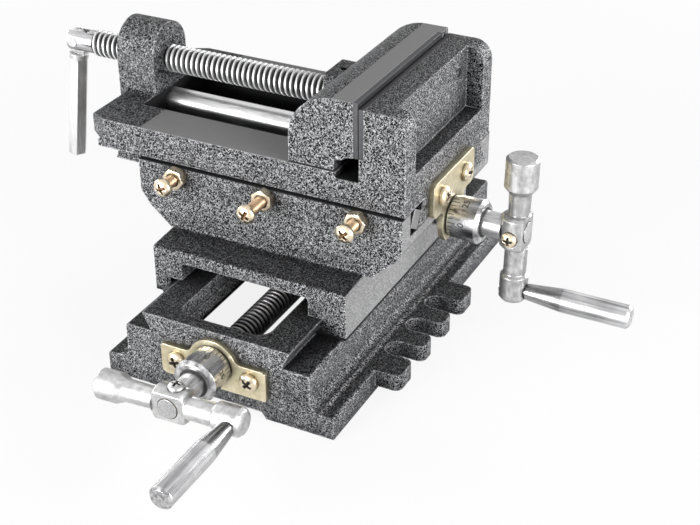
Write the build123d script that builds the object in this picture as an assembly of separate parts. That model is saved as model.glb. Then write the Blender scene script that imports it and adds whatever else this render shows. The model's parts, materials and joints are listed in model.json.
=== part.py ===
from build123d import *
import math
import os

os.makedirs("parts", exist_ok=True)

# Sizes of the cross slide vise, in millimetres.
# X runs along the clamp screw towards the fixed jaw, Y runs away from the front crank, Z is up.
# The origin is the middle of the base's underside.

# Clearances
RUNNING = 0.05          # radial gap of a turning shaft, and of a screw in its thread
SLIDING = 0.10          # gap between two sliding ways
SEAT = 0.02             # gap of a part that is fixed in its seat

# Base casting
BASE_LENGTH = 213.0
BASE_WIDTH = 124.4      # over the side flanges
BLOCK_WIDTH = 100.0     # over the side walls, above the flanges
FLANGE_HEIGHT = 12.0
FLANGE_SWEEP = 5.0      # radius of the valley between wall and flange
LEDGE_Z = 31.7
WAY_Z = 41.2            # top of the dovetail way
WAY_FOOT = 71.0         # width of the way where it meets the ledge
WAY_ANGLE = 65.0
SLOT_WIDTH = 47.0       # central opening, lower part
SLOT_STEP = 1.4         # the opening is this much wider on its -X side near its top
SLOT_STEP_Z = 34.0
SLOT_CORNER = 7.0
BASE_WALL = 7.0         # end walls
BASE_SIDE_WALL = 4.8    # side walls above the flanges
SHELL_TOP = 27.5        # ceiling of the hollow underneath
ARCH_HALF = 24.0
ARCH_HEIGHT = 3.5

# Clamping fingers of the base
FINGER_REACH = 75.4     # from the middle to the finger tips
FINGER_START = -63.3
FINGER_END = 27.3
FINGER_LIFT = 3.2       # the fingers' undersides stand this far off the table
BOLT_SLOT_WIDTH = 11.8
BOLT_SLOT_FLOOR = 57.8  # from the middle to the bottom of each slot
BOLT_SLOT_MIDDLE = -18.0
BOLT_SLOT_PITCH = 23.5
FINGER_ROUND = 4.0

# Saddle
SADDLE_Y = -3.0         # where the saddle stands on the base
SADDLE_BLOCK_LEFT = 53.5    # from the middle to the block's -X face
SADDLE_BLOCK_RIGHT = 52.3
SADDLE_BLOCK_DEPTH = 142.7
SADDLE_LEG_Z = 32.5
LEDGE_EDGE_Z = 57.3     # ledge height at its outer edge
LEDGE_ROOT_Z = 58.5     # ledge height where it meets the upper part
SADDLE_LENGTH = 143.4
SADDLE_DEPTH = 104.0
SADDLE_CORNER_X = 16.2      # the lower corners of the upper part are cut in two flats
SADDLE_CORNER_Z = 16.2
SADDLE_KNEE_X = 4.7
SADDLE_KNEE_Z = 9.2
SADDLE_TOP_Z = 92.2
FLOOR_Z = 79.6          # floor of the upper dovetail
RELIEF_TOP = 51.0       # ceiling of the recess over the base's way
STRIP_WIDTH = 7.7       # bearing strips beside that recess

# Gib bars and their screws
LOWER_GIB = 5.0
LOWER_GIB_HEIGHT = 6.8
LOWER_GIB_NOSE = 8.0    # how far it stands out in front
UPPER_GIB = 8.0
UPPER_GIB_HEIGHT = 9.0
UPPER_GIB_WALL = 43.2   # from the middle to the wall the gib screws go through
GIB_SCREW = 6.0
GIB_TIP = 4.0
GIB_HEAD = 9.4
GIB_HEAD_HEIGHT = 3.6
GIB_NUT = 10.0
GIB_NUT_HEIGHT = 5.0
GIB_PITCH = 49.3
GIB_SCREW_Z = 87.3
GIB_STAND_OUT = (16.0, 20.9, 16.5)
LOWER_GIB_PITCH = 45.0
LOWER_GIB_SCREW_Z = 36.6

# Lead screws, dials and brackets
LEAD_SCREW = 14.0
JOURNAL = 12.5
CRANK_END = 10.0
FRONT_AXIS_Z = 25.0
CROSS_AXIS_Z = 70.5
FRONT_SCREW_REACH = 184.0   # from the base's front face to the screw's far end
CROSS_SCREW_REACH = 152.0
BRACKET = 3.0
BRACKET_HUMP = 13.0
BRACKET_SCREW = 5.0
BRACKET_HEAD = 9.6
BRACKET_HEAD_HEIGHT = 3.3
FRONT_BRACKET = (57.0, 12.3, 28.6)
FRONT_BRACKET_HOLES = (39.6, 21.4)
CROSS_BRACKET = (48.5, 79.0, 97.3)
CROSS_BRACKET_HOLES = (27.4, 88.0)
CROSS_BRACKET_CUT = 60.4     # the hump of this bracket is cut flat below
DIAL_START = 3.6
DIAL_LENGTH = 16.0
DIAL_REAR = 20.6
DIAL_FRONT = 22.4
DIAL_BEVEL = 1.6
NUT_LENGTH = 24.0
FRONT_NUT_WIDTH = 20.0
CROSS_NUT_WIDTH = 16.0
CROSS_NUT_X = 35.0
CHANNEL_WIDTH = 22.0
CHANNEL_Z = 60.0

# Cranks, measured outwards from the face their bracket sits on
CRANK_OFFSET = 36.5
FRONT_KNOB = (14.8, 24.2, 28.7, 39.6)    # diameter, end of the neck, start of the full knob, end
CROSS_KNOB = (16.2, 20.0, 23.2, 38.6)
KNOB_BEVEL = 1.2
ARM_THIN = 10.4
HUB = 17.0
HUB_HALF = 8.2
HUB_FLAT = 4.8
ARM_THICK = 11.2
BOSS = 14.0
BOSS_FROM = 22.6
BOSS_TO = 37.9
GRIP_THROW = 32.0
GRIP_SHANK = 6.0
GRIP_NECK = 8.0
GRIP = 11.6
GRIP_CONE_END = 62.0
GRIP_END = 96.0
CRANK_SCREW = 5.0
CRANK_SCREW_HEAD = 7.8
CRANK_SCREW_HEAD_HEIGHT = 3.2
CRANK_SCREW_ALONG = 1.9     # the set screw stands this far from the hub's middle, towards the grip
CRANK_SCREW_BACK = 1.2      # and this far towards the dial
FRONT_CRANK_TURN = 2.0      # how far each crank happens to be turned
CROSS_CRANK_TURN = 2.5

# Vise body
JAW_WIDTH = 100.0
BODY_LEFT = -102.0
BODY_OVERHANG = 0.3     # the body's right end stands this far past the saddle's end
BODY_LIP = 10.0         # height of the overhanging lip at the left end
BODY_LIP_SLOPE = 2.0
BODY_UNDERCUT = 5.0
SHOULDER_Z = 92.7
RAIL_Z = 108.1
RAIL_INNER = 27.0       # from the middle to the inner edge of each rail
BED_Z = 89.5            # floor of the slot between the rails
FOOT_Z = 79.65
FOOT_NEAR = -36.0
FOOT_FAR = 46.3
BODY_DOVETAIL = 60.0
CORNER_CUT_X = 9.0
CORNER_CUT_Y = 4.5
UNDERSIDE_HALF = 14.0
UNDERSIDE_Z = 85.0
END_WALL = 12.0
LUG_LEFT = -106.5
LUG_RIGHT = -84.5
LUG_HALF = 15.1
LUG_ARC_Z = 127.3
LUG_FOOT = 4.0
CLAMP_AXIS_Z = 123.3
ROD = 14.0
ROD_Z = 99.5
ROD_SOCKET = 10.0

# Fixed jaw
JAW_WALL = 14.5
JAW_RIB_DEPTH = 9.0     # the ribs stand this far behind the wall
JAW_PLATE = 2.4
JAW_TOP = 142.2
RIB = 10.7
POCKET_Z = 110.0
PLATE_BOTTOM = 117.4
PLATE_SHORT = 7.5       # the plates stop this far before the far end
PIT_LENGTH = 12.0
PIT_DEPTH = 2.5
PLATE_SCREW = 5.0
PLATE_SCREW_SPREAD = 59.0
PLATE_SCREW_SHARE = 0.57    # the plate screws' height, as a share of the fixed plate's
PLATE_SCREW_LENGTH = 14.0
PLATE_SCREW_BITE = 1.4      # how far the screws reach into the plate

# Movable jaw
JAW_GAP = 0.4           # between the plates when the vise is closed
SLIDER_LENGTH = 33.6
SLIDER_TOP = 145.0
SLIDER_ROUND = 24.0
TONGUE_SETBACK = 2.9    # the tongue starts this far behind the slider's rounded back
TONGUE_SHORT = 1.7      # and stops this far before its front
TONGUE_LIFT = 1.0       # off the bed
SCREW_BOSS_PROUD = 2.3
SCREW_BOSS_HALF = 10.5
SCREW_BOSS_TOP = 136.3
SCREW_BOSS_BOTTOM = 112.0
KEEPER_DEPTH = 3.8      # from the slider's back to the keeper
KEEPER = 4.0

# Clamp screw and its folding handle
CLAMP_SCREW = 14.0
CLAMP_THREAD_START = -129.5
CLAMP_HEAD = 12.0
CLAMP_HEAD_END = -146.5
CLAMP_NECK = 11.0
CLAMP_NECK_DEPTH = 23.9     # how deep the neck reaches into the slider
FORK_GAP = 5.2
FORK_DEPTH = 13.0
CROSS_PIN = 5.0
CROSS_PIN_X = -141.3
HANDLE_BAR = 8.8        # across the flats
HANDLE_COLLAR = 10.2
HANDLE_COLLAR_FROM = 7.6
HANDLE_COLLAR_TO = 10.6
HANDLE_LENGTH = 68.5
HANDLE_TILT = 8.0

# Derived places
front_face = -BASE_LENGTH / 2
way_overhang = (WAY_Z - LEDGE_Z) / math.tan(math.radians(WAY_ANGLE))
near_face = SADDLE_Y - JAW_WIDTH / 2
far_face = SADDLE_Y + JAW_WIDTH / 2
plate_end = far_face - PLATE_SHORT
body_right = SADDLE_LENGTH / 2 + BODY_OVERHANG
jaw_back = body_right - JAW_RIB_DEPTH
jaw_face = jaw_back - JAW_WALL
slider_front = jaw_face - JAW_GAP - JAW_PLATE
plate_screw_z = PLATE_BOTTOM + PLATE_SCREW_SHARE * (JAW_TOP - PLATE_BOTTOM)
slider_rear = slider_front - SLIDER_LENGTH
boss_from = slider_rear - SCREW_BOSS_PROUD
keeper_x = slider_rear + KEEPER_DEPTH
neck_end = slider_rear + CLAMP_NECK_DEPTH


# Drawing helpers
def outline(corners):
    """Closed flat face from (a, b) corners; a third number rounds that corner."""
    count = len(corners)
    entries = []
    for i, corner in enumerate(corners):
        here = Vector(corner[0], corner[1])
        radius = corner[2] if len(corner) > 2 else 0.0
        before = Vector(*corners[i - 1][:2]) - here
        after = Vector(*corners[(i + 1) % count][:2]) - here
        if radius == 0.0:
            entries.append((here, here, None))
            continue
        half = math.radians(before.get_angle(after)) / 2
        back = radius / math.tan(half)
        inward = (before.normalized() + after.normalized()).normalized()
        middle = here + inward * (radius / math.sin(half) - radius)
        entries.append((here + before.normalized() * back, here + after.normalized() * back, middle))
    edges = []
    for i, (start, end, middle) in enumerate(entries):
        if middle is not None:
            edges.append(ThreePointArc(start, middle, end))
        following = entries[(i + 1) % count][0]
        if (following - end).length > 1e-6:
            edges.append(Line(end, following))
    return make_face(edges)


def prism_x(corners, x_from, x_to):
    """Outline drawn in (y, z), pushed along X."""
    plane = Plane(origin=(x_from, 0, 0), x_dir=(0, 1, 0), z_dir=(1, 0, 0))
    return extrude(plane * outline(corners), amount=x_to - x_from)


def prism_y(corners, y_from, y_to):
    """Outline drawn in (x, z), pushed along Y."""
    plane = Plane(origin=(0, y_to, 0), x_dir=(1, 0, 0), z_dir=(0, -1, 0))
    return extrude(plane * outline(corners), amount=y_to - y_from)


def prism_z(corners, z_from, z_to):
    """Outline drawn in (x, y), pushed along Z."""
    return extrude(Plane.XY.offset(z_from) * outline(corners), amount=z_to - z_from)


def block(x_from, x_to, y_from, y_to, z_from, z_to):
    size = (x_to - x_from, y_to - y_from, z_to - z_from)
    centre = ((x_from + x_to) / 2, (y_from + y_to) / 2, (z_from + z_to) / 2)
    return Pos(*centre) * Box(*size)


def rod_x(diameter, x_from, x_to, y, z):
    plane = Plane(origin=(x_from, y, z), x_dir=(0, 1, 0), z_dir=(1, 0, 0))
    return extrude(plane * Circle(diameter / 2), amount=x_to - x_from)


def rod_y(diameter, y_from, y_to, x, z):
    plane = Plane(origin=(x, y_to, z), x_dir=(1, 0, 0), z_dir=(0, -1, 0))
    return extrude(plane * Circle(diameter / 2), amount=y_to - y_from)


def rod_z(diameter, z_from, z_to, x, y):
    return extrude(Plane.XY.offset(z_from) * Pos(x, y) * Circle(diameter / 2), amount=z_to - z_from)


def turned(plane, steps):
    """Solid of revolution about the plane's X axis from (distance, radius) steps."""
    corners = [(steps[0][0], 0)] + list(steps) + [(steps[-1][0], 0)]
    return plane * revolve(outline(corners), Axis.X, 360)


def pan_screw(plane, shank, length, head, head_height):
    """Pan-head screw: the head stands out along the plane's X axis, the shank goes the other way."""
    dome = head_height * 0.45
    steps = [
        (-length, shank / 2 - 0.4),
        (-length + 0.4, shank / 2),
        (0, shank / 2),
        (0, head / 2),
        (head_height - dome, head / 2),
        (head_height - dome * 0.35, head / 2 - dome * 0.75),
        (head_height, head / 2 - dome * 1.7),
    ]
    return turned(plane, steps)


def hexagon_prism(plane, across_flats, thickness):
    return extrude(plane * RegularPolygon(across_flats / 2, 6, major_radius=False), amount=thickness)


def save(shape, name):
    shape.label = name
    export_step(shape, "parts/" + name + ".step")


# Base casting
half_block = BLOCK_WIDTH / 2
half_base = BASE_WIDTH / 2
half_foot = WAY_FOOT / 2
half_way = half_foot + way_overhang
base_section = [
    (-half_base, 0), (half_base, 0), (half_base, FLANGE_HEIGHT, 1.5),
    (half_block, FLANGE_HEIGHT, FLANGE_SWEEP), (half_block, LEDGE_Z, 1.2),
    (half_foot, LEDGE_Z), (half_way, WAY_Z),
    (-half_way, WAY_Z), (-half_foot, LEDGE_Z),
    (-half_block, LEDGE_Z, 1.2), (-half_block, FLANGE_HEIGHT, FLANGE_SWEEP),
    (-half_base, FLANGE_HEIGHT, 1.5),
]
base = prism_y(base_section, front_face, -front_face)

# One row of fingers, drawn on the +X side; the other row is the same one turned half round
finger_row = [(half_block - 5, FINGER_START), (FINGER_REACH, FINGER_START, FINGER_ROUND)]
slot_centres = [BOLT_SLOT_MIDDLE + BOLT_SLOT_PITCH * k for k in (-1, 0, 1)]
slot_round = BOLT_SLOT_WIDTH / 2 - 0.01
for centre in slot_centres:
    low = centre - BOLT_SLOT_WIDTH / 2
    high = centre + BOLT_SLOT_WIDTH / 2
    finger_row += [(FINGER_REACH, low, FINGER_ROUND), (BOLT_SLOT_FLOOR, low, slot_round)]
    finger_row += [(BOLT_SLOT_FLOOR, high, slot_round), (FINGER_REACH, high, FINGER_ROUND)]
finger_row += [(FINGER_REACH, FINGER_END, FINGER_ROUND), (half_block - 5, FINGER_END)]
fingers = prism_z(finger_row, FINGER_LIFT, FLANGE_HEIGHT)
slots = Part()
for centre in slot_centres:
    reach = FINGER_REACH + 10
    low = centre - BOLT_SLOT_WIDTH / 2
    high = centre + BOLT_SLOT_WIDTH / 2
    cut = [
        (BOLT_SLOT_FLOOR, low, slot_round), (reach, low),
        (reach, high), (BOLT_SLOT_FLOOR, high, slot_round),
    ]
    slots += prism_z(cut, -1, FLANGE_HEIGHT + 4)
half_turn = Rot(0, 0, 180)
for side in (fingers, half_turn * fingers):
    base += side
for side in (slots, half_turn * slots):
    base -= side

# Hollow underneath, central opening, arches under both ends
inside = half_block - BASE_SIDE_WALL
end = BASE_LENGTH / 2 - BASE_WALL
base -= block(-inside, inside, -end, end, -1, SHELL_TOP)
half_slot = SLOT_WIDTH / 2
opening = [(a * half_slot, b * end, SLOT_CORNER) for a, b in ((-1, -1), (1, -1), (1, 1), (-1, 1))]
wider = [(a - SLOT_STEP if a < 0 else a, b, radius) for a, b, radius in opening]
base -= prism_z(opening, SHELL_TOP - 1, WAY_Z + 1)
base -= prism_z(wider, SLOT_STEP_Z, WAY_Z + 1)
arch = [(-ARCH_HALF - 3, -1), (ARCH_HALF + 3, -1), (ARCH_HALF, ARCH_HEIGHT), (-ARCH_HALF, ARCH_HEIGHT)]
base -= prism_y(arch, front_face - 1, -front_face + 1)

# Bearing and bracket screw holes in the front wall
base -= rod_y(JOURNAL + 2 * RUNNING, front_face - 1, front_face + BASE_WALL + 1, 0, FRONT_AXIS_Z)
for side in (-1, 1):
    x = side * FRONT_BRACKET_HOLES[0] / 2
    base -= rod_y(
        BRACKET_SCREW + 2 * SEAT, front_face - 1, front_face + BASE_WALL + 1, x, FRONT_BRACKET_HOLES[1]
    )
save(base, "base")

# Saddle
block_left = -SADDLE_BLOCK_LEFT
block_right = SADDLE_BLOCK_RIGHT
half_depth = SADDLE_BLOCK_DEPTH / 2
half_length = SADDLE_LENGTH / 2
upper_half = SADDLE_DEPTH / 2
block_section = [
    (SADDLE_Y - half_depth, SADDLE_LEG_Z), (SADDLE_Y + half_depth, SADDLE_LEG_Z),
    (SADDLE_Y + half_depth, LEDGE_EDGE_Z, 1.5), (SADDLE_Y + upper_half, LEDGE_ROOT_Z),
    (SADDLE_Y - upper_half, LEDGE_ROOT_Z), (SADDLE_Y - half_depth, LEDGE_EDGE_Z, 1.5),
]
saddle = prism_x(block_section, block_left, block_right)
knee_z = LEDGE_ROOT_Z + SADDLE_KNEE_Z
corner_z = LEDGE_ROOT_Z + SADDLE_CORNER_Z
plate_section = [
    (-half_length + SADDLE_CORNER_X, LEDGE_ROOT_Z - 0.8, 1.5),
    (half_length - SADDLE_CORNER_X, LEDGE_ROOT_Z - 0.8, 1.5),
    (half_length - SADDLE_KNEE_X, knee_z, 8), (half_length, corner_z, 2),
    (half_length, SADDLE_TOP_Z), (-half_length, SADDLE_TOP_Z),
    (-half_length, corner_z, 2), (-half_length + SADDLE_KNEE_X, knee_z, 8),
]
saddle += prism_y(plate_section, SADDLE_Y - upper_half, SADDLE_Y + upper_half)
root_edges = saddle.edges().filter_by(Axis.X).filter_by(
    lambda e: abs(e.center().Z - LEDGE_ROOT_Z) < 0.2 and abs(abs(e.center().Y - SADDLE_Y) - upper_half) < 0.2
)
saddle = fillet(root_edges, 2.0)

# Lower dovetail with room for the gib bar on the -X side
roof = WAY_Z + SLIDING
slope = 1 / math.tan(math.radians(WAY_ANGLE))
gib_room = (LOWER_GIB + 2 * SLIDING) / math.sin(math.radians(WAY_ANGLE))


def way_x(z, extra):
    return half_foot + (z - LEDGE_Z) * slope + extra


lower_mouth = SADDLE_LEG_Z - 1
lower_dovetail = [
    (way_x(lower_mouth, SLIDING), lower_mouth), (way_x(roof, SLIDING), roof),
    (-way_x(roof, gib_room), roof), (-way_x(lower_mouth, gib_room), lower_mouth),
]
y_low = SADDLE_Y - half_depth - 1
y_high = SADDLE_Y + half_depth + 1
saddle -= prism_y(lower_dovetail, y_low, y_high)
recess_left = -way_x(roof, gib_room) + STRIP_WIDTH
recess_right = way_x(roof, SLIDING) - STRIP_WIDTH
recess = [
    (recess_left, roof - 1), (recess_right, roof - 1),
    (recess_right, RELIEF_TOP, 2), (recess_left, RELIEF_TOP, 2),
]
saddle -= prism_y(recess, y_low, y_high)

# Upper dovetail with its gib wall on the near side, and the channel of the cross lead screw
lean = 1 / math.tan(math.radians(BODY_DOVETAIL))
far_foot = SADDLE_Y + FOOT_FAR + SLIDING
far_neck = far_foot - (SADDLE_TOP_Z + 1 - FLOOR_Z) * lean
gib_wall = SADDLE_Y - UPPER_GIB_WALL
upper_dovetail = [
    (gib_wall, FLOOR_Z), (far_foot, FLOOR_Z), (far_neck, SADDLE_TOP_Z + 1), (gib_wall, SADDLE_TOP_Z + 1),
]
saddle -= prism_x(upper_dovetail, -half_length - 1, half_length + 1)
half_channel = CHANNEL_WIDTH / 2
channel = [
    (SADDLE_Y - half_channel, CHANNEL_Z, 3), (SADDLE_Y + half_channel, CHANNEL_Z, 3),
    (SADDLE_Y + half_channel, FLOOR_Z + 1), (SADDLE_Y - half_channel, FLOOR_Z + 1),
]
saddle -= prism_x(channel, -half_length - 1, half_length + 1)
for k in (-1, 0, 1):
    saddle -= rod_y(GIB_SCREW + 2 * SEAT, SADDLE_Y - upper_half - 1, gib_wall + 1, k * GIB_PITCH, GIB_SCREW_Z)
    y = SADDLE_Y + k * LOWER_GIB_PITCH
    saddle -= rod_x(GIB_SCREW + 2 * SEAT, block_left - 1, block_left + 13, y, LOWER_GIB_SCREW_Z)
save(saddle, "saddle")

# Lower gib bar: lies against the way's -X flank
across = (-math.sin(math.radians(WAY_ANGLE)), -math.cos(math.radians(WAY_ANGLE)))
down = (math.cos(math.radians(WAY_ANGLE)), -math.sin(math.radians(WAY_ANGLE)))


def walk(start, *moves):
    """Point reached from start by (direction, distance) moves."""
    a, b = start
    for direction, distance in moves:
        a += direction[0] * distance
        b += direction[1] * distance
    return a, b


corner = walk((-half_way, WAY_Z), (across, SLIDING), (down, 0.3))
lower_gib_section = [
    corner,
    walk(corner, (down, LOWER_GIB_HEIGHT)),
    walk(corner, (down, LOWER_GIB_HEIGHT), (across, LOWER_GIB)),
    walk(corner, (across, LOWER_GIB)),
]
lower_gib = prism_y(lower_gib_section, SADDLE_Y - half_depth - LOWER_GIB_NOSE, SADDLE_Y + half_depth)
gib_back = -way_x(LOWER_GIB_SCREW_Z, gib_room)
tip_depth = gib_back + 3.0
for k in (-1, 0, 1):
    y = SADDLE_Y + k * LOWER_GIB_PITCH
    lower_gib -= rod_x(GIB_TIP + 2 * SEAT, gib_back - 4, tip_depth, y, LOWER_GIB_SCREW_Z)
save(lower_gib, "saddle_gib")

# Upper gib bar: leans on the near flank of the body's dovetail
out = (-math.sin(math.radians(BODY_DOVETAIL)), math.cos(math.radians(BODY_DOVETAIL)))
up = (math.cos(math.radians(BODY_DOVETAIL)), math.sin(math.radians(BODY_DOVETAIL)))
corner = walk((SADDLE_Y + FOOT_NEAR, FOOT_Z), (out, SLIDING), (up, 0.4))
upper_gib_section = [
    corner,
    walk(corner, (up, UPPER_GIB_HEIGHT)),
    walk(corner, (up, UPPER_GIB_HEIGHT), (out, UPPER_GIB)),
    walk(corner, (out, UPPER_GIB)),
]
upper_gib = prism_x(upper_gib_section, -half_length, half_length)
outer_low = walk(corner, (out, UPPER_GIB))
gib_front = outer_low[0] + (GIB_SCREW_Z - outer_low[1]) * lean
upper_tip = gib_front + 3.0
for k in (-1, 0, 1):
    upper_gib -= rod_y(GIB_TIP + 2 * SEAT, gib_front - 5, upper_tip, k * GIB_PITCH, GIB_SCREW_Z)
save(upper_gib, "vise_gib")


# Gib screws: a threaded shank, a smaller tip that sits in the bar, a pan head outside
def gib_screw(plane, head_at, tip_at):
    dome = GIB_HEAD_HEIGHT * 0.45
    steps = [
        (-tip_at, GIB_TIP / 2),
        (-tip_at + 5.4, GIB_TIP / 2),
        (-tip_at + 5.4, GIB_SCREW / 2),
        (head_at - GIB_HEAD_HEIGHT, GIB_SCREW / 2),
        (head_at - GIB_HEAD_HEIGHT, GIB_HEAD / 2),
        (head_at - dome, GIB_HEAD / 2),
        (head_at - dome * 0.35, GIB_HEAD / 2 - dome * 0.75),
        (head_at, GIB_HEAD / 2 - dome * 1.7),
    ]
    return turned(plane, steps)


upper_screws = Part()
upper_nuts = Part()
lower_screws = Part()
lower_nuts = Part()
front_wall = SADDLE_Y - upper_half
for k, stand_out in zip((-1, 0, 1), GIB_STAND_OUT):
    x = k * GIB_PITCH
    outward = Plane(origin=(x, front_wall, GIB_SCREW_Z), x_dir=(0, -1, 0), z_dir=(0, 0, 1))
    upper_screws += gib_screw(outward, stand_out, upper_tip - front_wall)
    face = Plane(origin=(x, front_wall, GIB_SCREW_Z), x_dir=(1, 0, 0), z_dir=(0, -1, 0))
    nut = hexagon_prism(face, GIB_NUT, GIB_NUT_HEIGHT)
    upper_nuts += nut - rod_y(GIB_SCREW + 2 * SEAT, front_wall - 10, front_wall + 1, x, GIB_SCREW_Z)
    y = SADDLE_Y + k * LOWER_GIB_PITCH
    outward = Plane(origin=(block_left, y, LOWER_GIB_SCREW_Z), x_dir=(-1, 0, 0), z_dir=(0, 0, 1))
    lower_screws += gib_screw(outward, GIB_STAND_OUT[0], tip_depth - block_left)
    face = Plane(origin=(block_left, y, LOWER_GIB_SCREW_Z), x_dir=(0, 1, 0), z_dir=(-1, 0, 0))
    nut = hexagon_prism(face, GIB_NUT, GIB_NUT_HEIGHT)
    lower_nuts += nut - rod_x(GIB_SCREW + 2 * SEAT, block_left - 10, block_left + 1, y, LOWER_GIB_SCREW_Z)
save(upper_screws, "vise_gib_screws")
save(upper_nuts, "vise_gib_nuts")
save(lower_screws, "saddle_gib_screws")
save(lower_nuts, "saddle_gib_nuts")

# Lead screw nuts, both carried by the saddle
half_nut = NUT_LENGTH / 2
front_nut = block(
    -FRONT_NUT_WIDTH / 2, FRONT_NUT_WIDTH / 2, SADDLE_Y - half_nut, SADDLE_Y + half_nut,
    FRONT_AXIS_Z - LEAD_SCREW / 2 - 4, RELIEF_TOP,
)
front_nut -= rod_y(
    LEAD_SCREW + 2 * RUNNING, SADDLE_Y - half_nut - 1, SADDLE_Y + half_nut + 1, 0, FRONT_AXIS_Z
)
save(front_nut, "base_lead_nut")
cross_nut = block(
    CROSS_NUT_X - half_nut, CROSS_NUT_X + half_nut,
    SADDLE_Y - CROSS_NUT_WIDTH / 2, SADDLE_Y + CROSS_NUT_WIDTH / 2,
    CHANNEL_Z, UNDERSIDE_Z - 3,
)
cross_nut -= rod_x(
    LEAD_SCREW + 2 * RUNNING, CROSS_NUT_X - half_nut - 1, CROSS_NUT_X + half_nut + 1, SADDLE_Y, CROSS_AXIS_Z
)
save(cross_nut, "cross_lead_nut")


# Screw, dial and crank, drawn once along the plane's X axis with the bracket's seat at 0
def lead_screw(plane, inner_start, reach):
    return turned(plane, [
        (-reach, LEAD_SCREW / 2 - 1.5),
        (-reach + 1.5, LEAD_SCREW / 2),
        (-inner_start, LEAD_SCREW / 2),
        (-inner_start, JOURNAL / 2),
        (CRANK_OFFSET - 7.0, JOURNAL / 2),
        (CRANK_OFFSET - 7.0, CRANK_END / 2),
        (CRANK_OFFSET + HUB_FLAT + 0.4, CRANK_END / 2),
    ])


def dial(plane):
    body = turned(plane, [
        (DIAL_START, DIAL_REAR / 2),
        (DIAL_START + DIAL_LENGTH - DIAL_BEVEL, DIAL_FRONT / 2),
        (DIAL_START + DIAL_LENGTH, DIAL_FRONT / 2 - DIAL_BEVEL),
    ])
    hole = turned(plane, [(0, JOURNAL / 2 + SEAT), (CRANK_OFFSET, JOURNAL / 2 + SEAT)])
    return body - hole


def crank(plane, knob):
    """Plane X points outwards, plane Y towards the grip."""
    diameter, neck, full, knob_end = knob
    across_arm = plane * Plane(origin=(CRANK_OFFSET, 0, 0), x_dir=(0, 1, 0), z_dir=(0, 0, 1))
    arm = turned(across_arm, [
        (-knob_end, diameter / 2 - KNOB_BEVEL),
        (-knob_end + KNOB_BEVEL, diameter / 2),
        (-full, diameter / 2),
        (-neck, ARM_THIN / 2 + 0.3),
        (-HUB_HALF - 0.8, ARM_THIN / 2),
        (-HUB_HALF, HUB / 2 - 1.0),
        (-HUB_HALF + 1.0, HUB / 2),
        (HUB_HALF - 1.0, HUB / 2),
        (HUB_HALF, HUB / 2 - 1.0),
        (HUB_HALF + 0.4, ARM_THICK / 2),
        (BOSS_FROM, ARM_THICK / 2),
        (BOSS_FROM + 1.4, BOSS / 2),
        (BOSS_TO - 2.4, BOSS / 2),
        (BOSS_TO - 0.8, BOSS / 2 - 1.2),
        (BOSS_TO, BOSS / 2 - 3.2),
    ])
    flat = plane * Pos(CRANK_OFFSET + HUB_FLAT + 10, 0, 0) * Box(20, 2 * HUB_HALF + 1, HUB + 2)
    seat = turned(plane, [(0, JOURNAL / 2 + SEAT), (CRANK_OFFSET - 7.0, JOURNAL / 2 + SEAT)])
    shaft = turned(plane, [(0, CRANK_END / 2 + SEAT), (CRANK_OFFSET + 20, CRANK_END / 2 + SEAT)])
    grip_at = plane * Plane(origin=(CRANK_OFFSET, GRIP_THROW, 0), x_dir=(1, 0, 0), z_dir=(0, 0, 1))
    shank = turned(grip_at, [(-20, GRIP_SHANK / 2 + RUNNING), (20, GRIP_SHANK / 2 + RUNNING)])
    return arm - flat - seat - shaft - shank


def crank_grip(plane):
    grip_at = plane * Plane(origin=(0, GRIP_THROW, 0), x_dir=(1, 0, 0), z_dir=(0, 0, 1))
    start = CRANK_OFFSET + BOSS / 2 + 0.2
    return turned(grip_at, [
        (CRANK_OFFSET - BOSS / 2 + 0.4, GRIP_SHANK / 2),
        (start, GRIP_SHANK / 2),
        (start, GRIP_NECK / 2),
        (GRIP_CONE_END, GRIP / 2),
        (GRIP_END - 1.2, GRIP / 2),
        (GRIP_END, GRIP / 2 - 1.2),
    ])


def crank_screw_plane(plane, side):
    """The set screw stands on the hub, square to the arm and to the lead screw."""
    at = (CRANK_OFFSET - CRANK_SCREW_BACK, CRANK_SCREW_ALONG, side * (HUB / 2 - 0.8))
    return plane * Plane(origin=at, x_dir=(0, 0, side), z_dir=(0, 1, 0))


def crank_set(plane, knob, screw_side, name):
    seat = crank_screw_plane(plane, screw_side)
    shank = HUB / 2 - 0.8 - CRANK_END / 2 - SEAT
    screw = pan_screw(seat, CRANK_SCREW, shank, CRANK_SCREW_HEAD, CRANK_SCREW_HEAD_HEIGHT)
    hole = turned(seat, [(-shank, CRANK_SCREW / 2 + SEAT), (0, CRANK_SCREW / 2 + SEAT)])
    spot = turned(seat, [(0, CRANK_SCREW_HEAD / 2 + 0.3), (10, CRANK_SCREW_HEAD / 2 + 0.3)])
    save(crank(plane, knob) - hole - spot, name + "_crank")
    save(screw, name + "_crank_screw")
    save(crank_grip(plane), name + "_crank_grip")


# Front lead screw: turns in the base's front wall, moves the saddle along Y
front_turn = math.radians(FRONT_CRANK_TURN)
front_plane = Plane(
    origin=(0, front_face, FRONT_AXIS_Z), x_dir=(0, -1, 0),
    z_dir=(-math.sin(front_turn), 0, math.cos(front_turn)),
)
save(lead_screw(front_plane, BASE_WALL + 0.3, FRONT_SCREW_REACH), "base_lead_screw")
save(dial(front_plane), "base_dial")
crank_set(front_plane, FRONT_KNOB, 1, "base")

# Cross lead screw: turns in the bracket under the vise body's right end, moves the body along X
cross_turn = math.radians(CROSS_CRANK_TURN)
arm_down = (0, -math.sin(cross_turn), -math.cos(cross_turn))
cross_origin = (body_right, SADDLE_Y, CROSS_AXIS_Z)
cross_normal = Vector(1, 0, 0).cross(Vector(*arm_down))
cross_plane = Plane(origin=cross_origin, x_dir=(1, 0, 0), z_dir=cross_normal)
save(lead_screw(cross_plane, 0.3, CROSS_SCREW_REACH), "cross_lead_screw")
save(dial(cross_plane), "cross_dial")
crank_set(cross_plane, CROSS_KNOB, -1, "cross")

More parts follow.
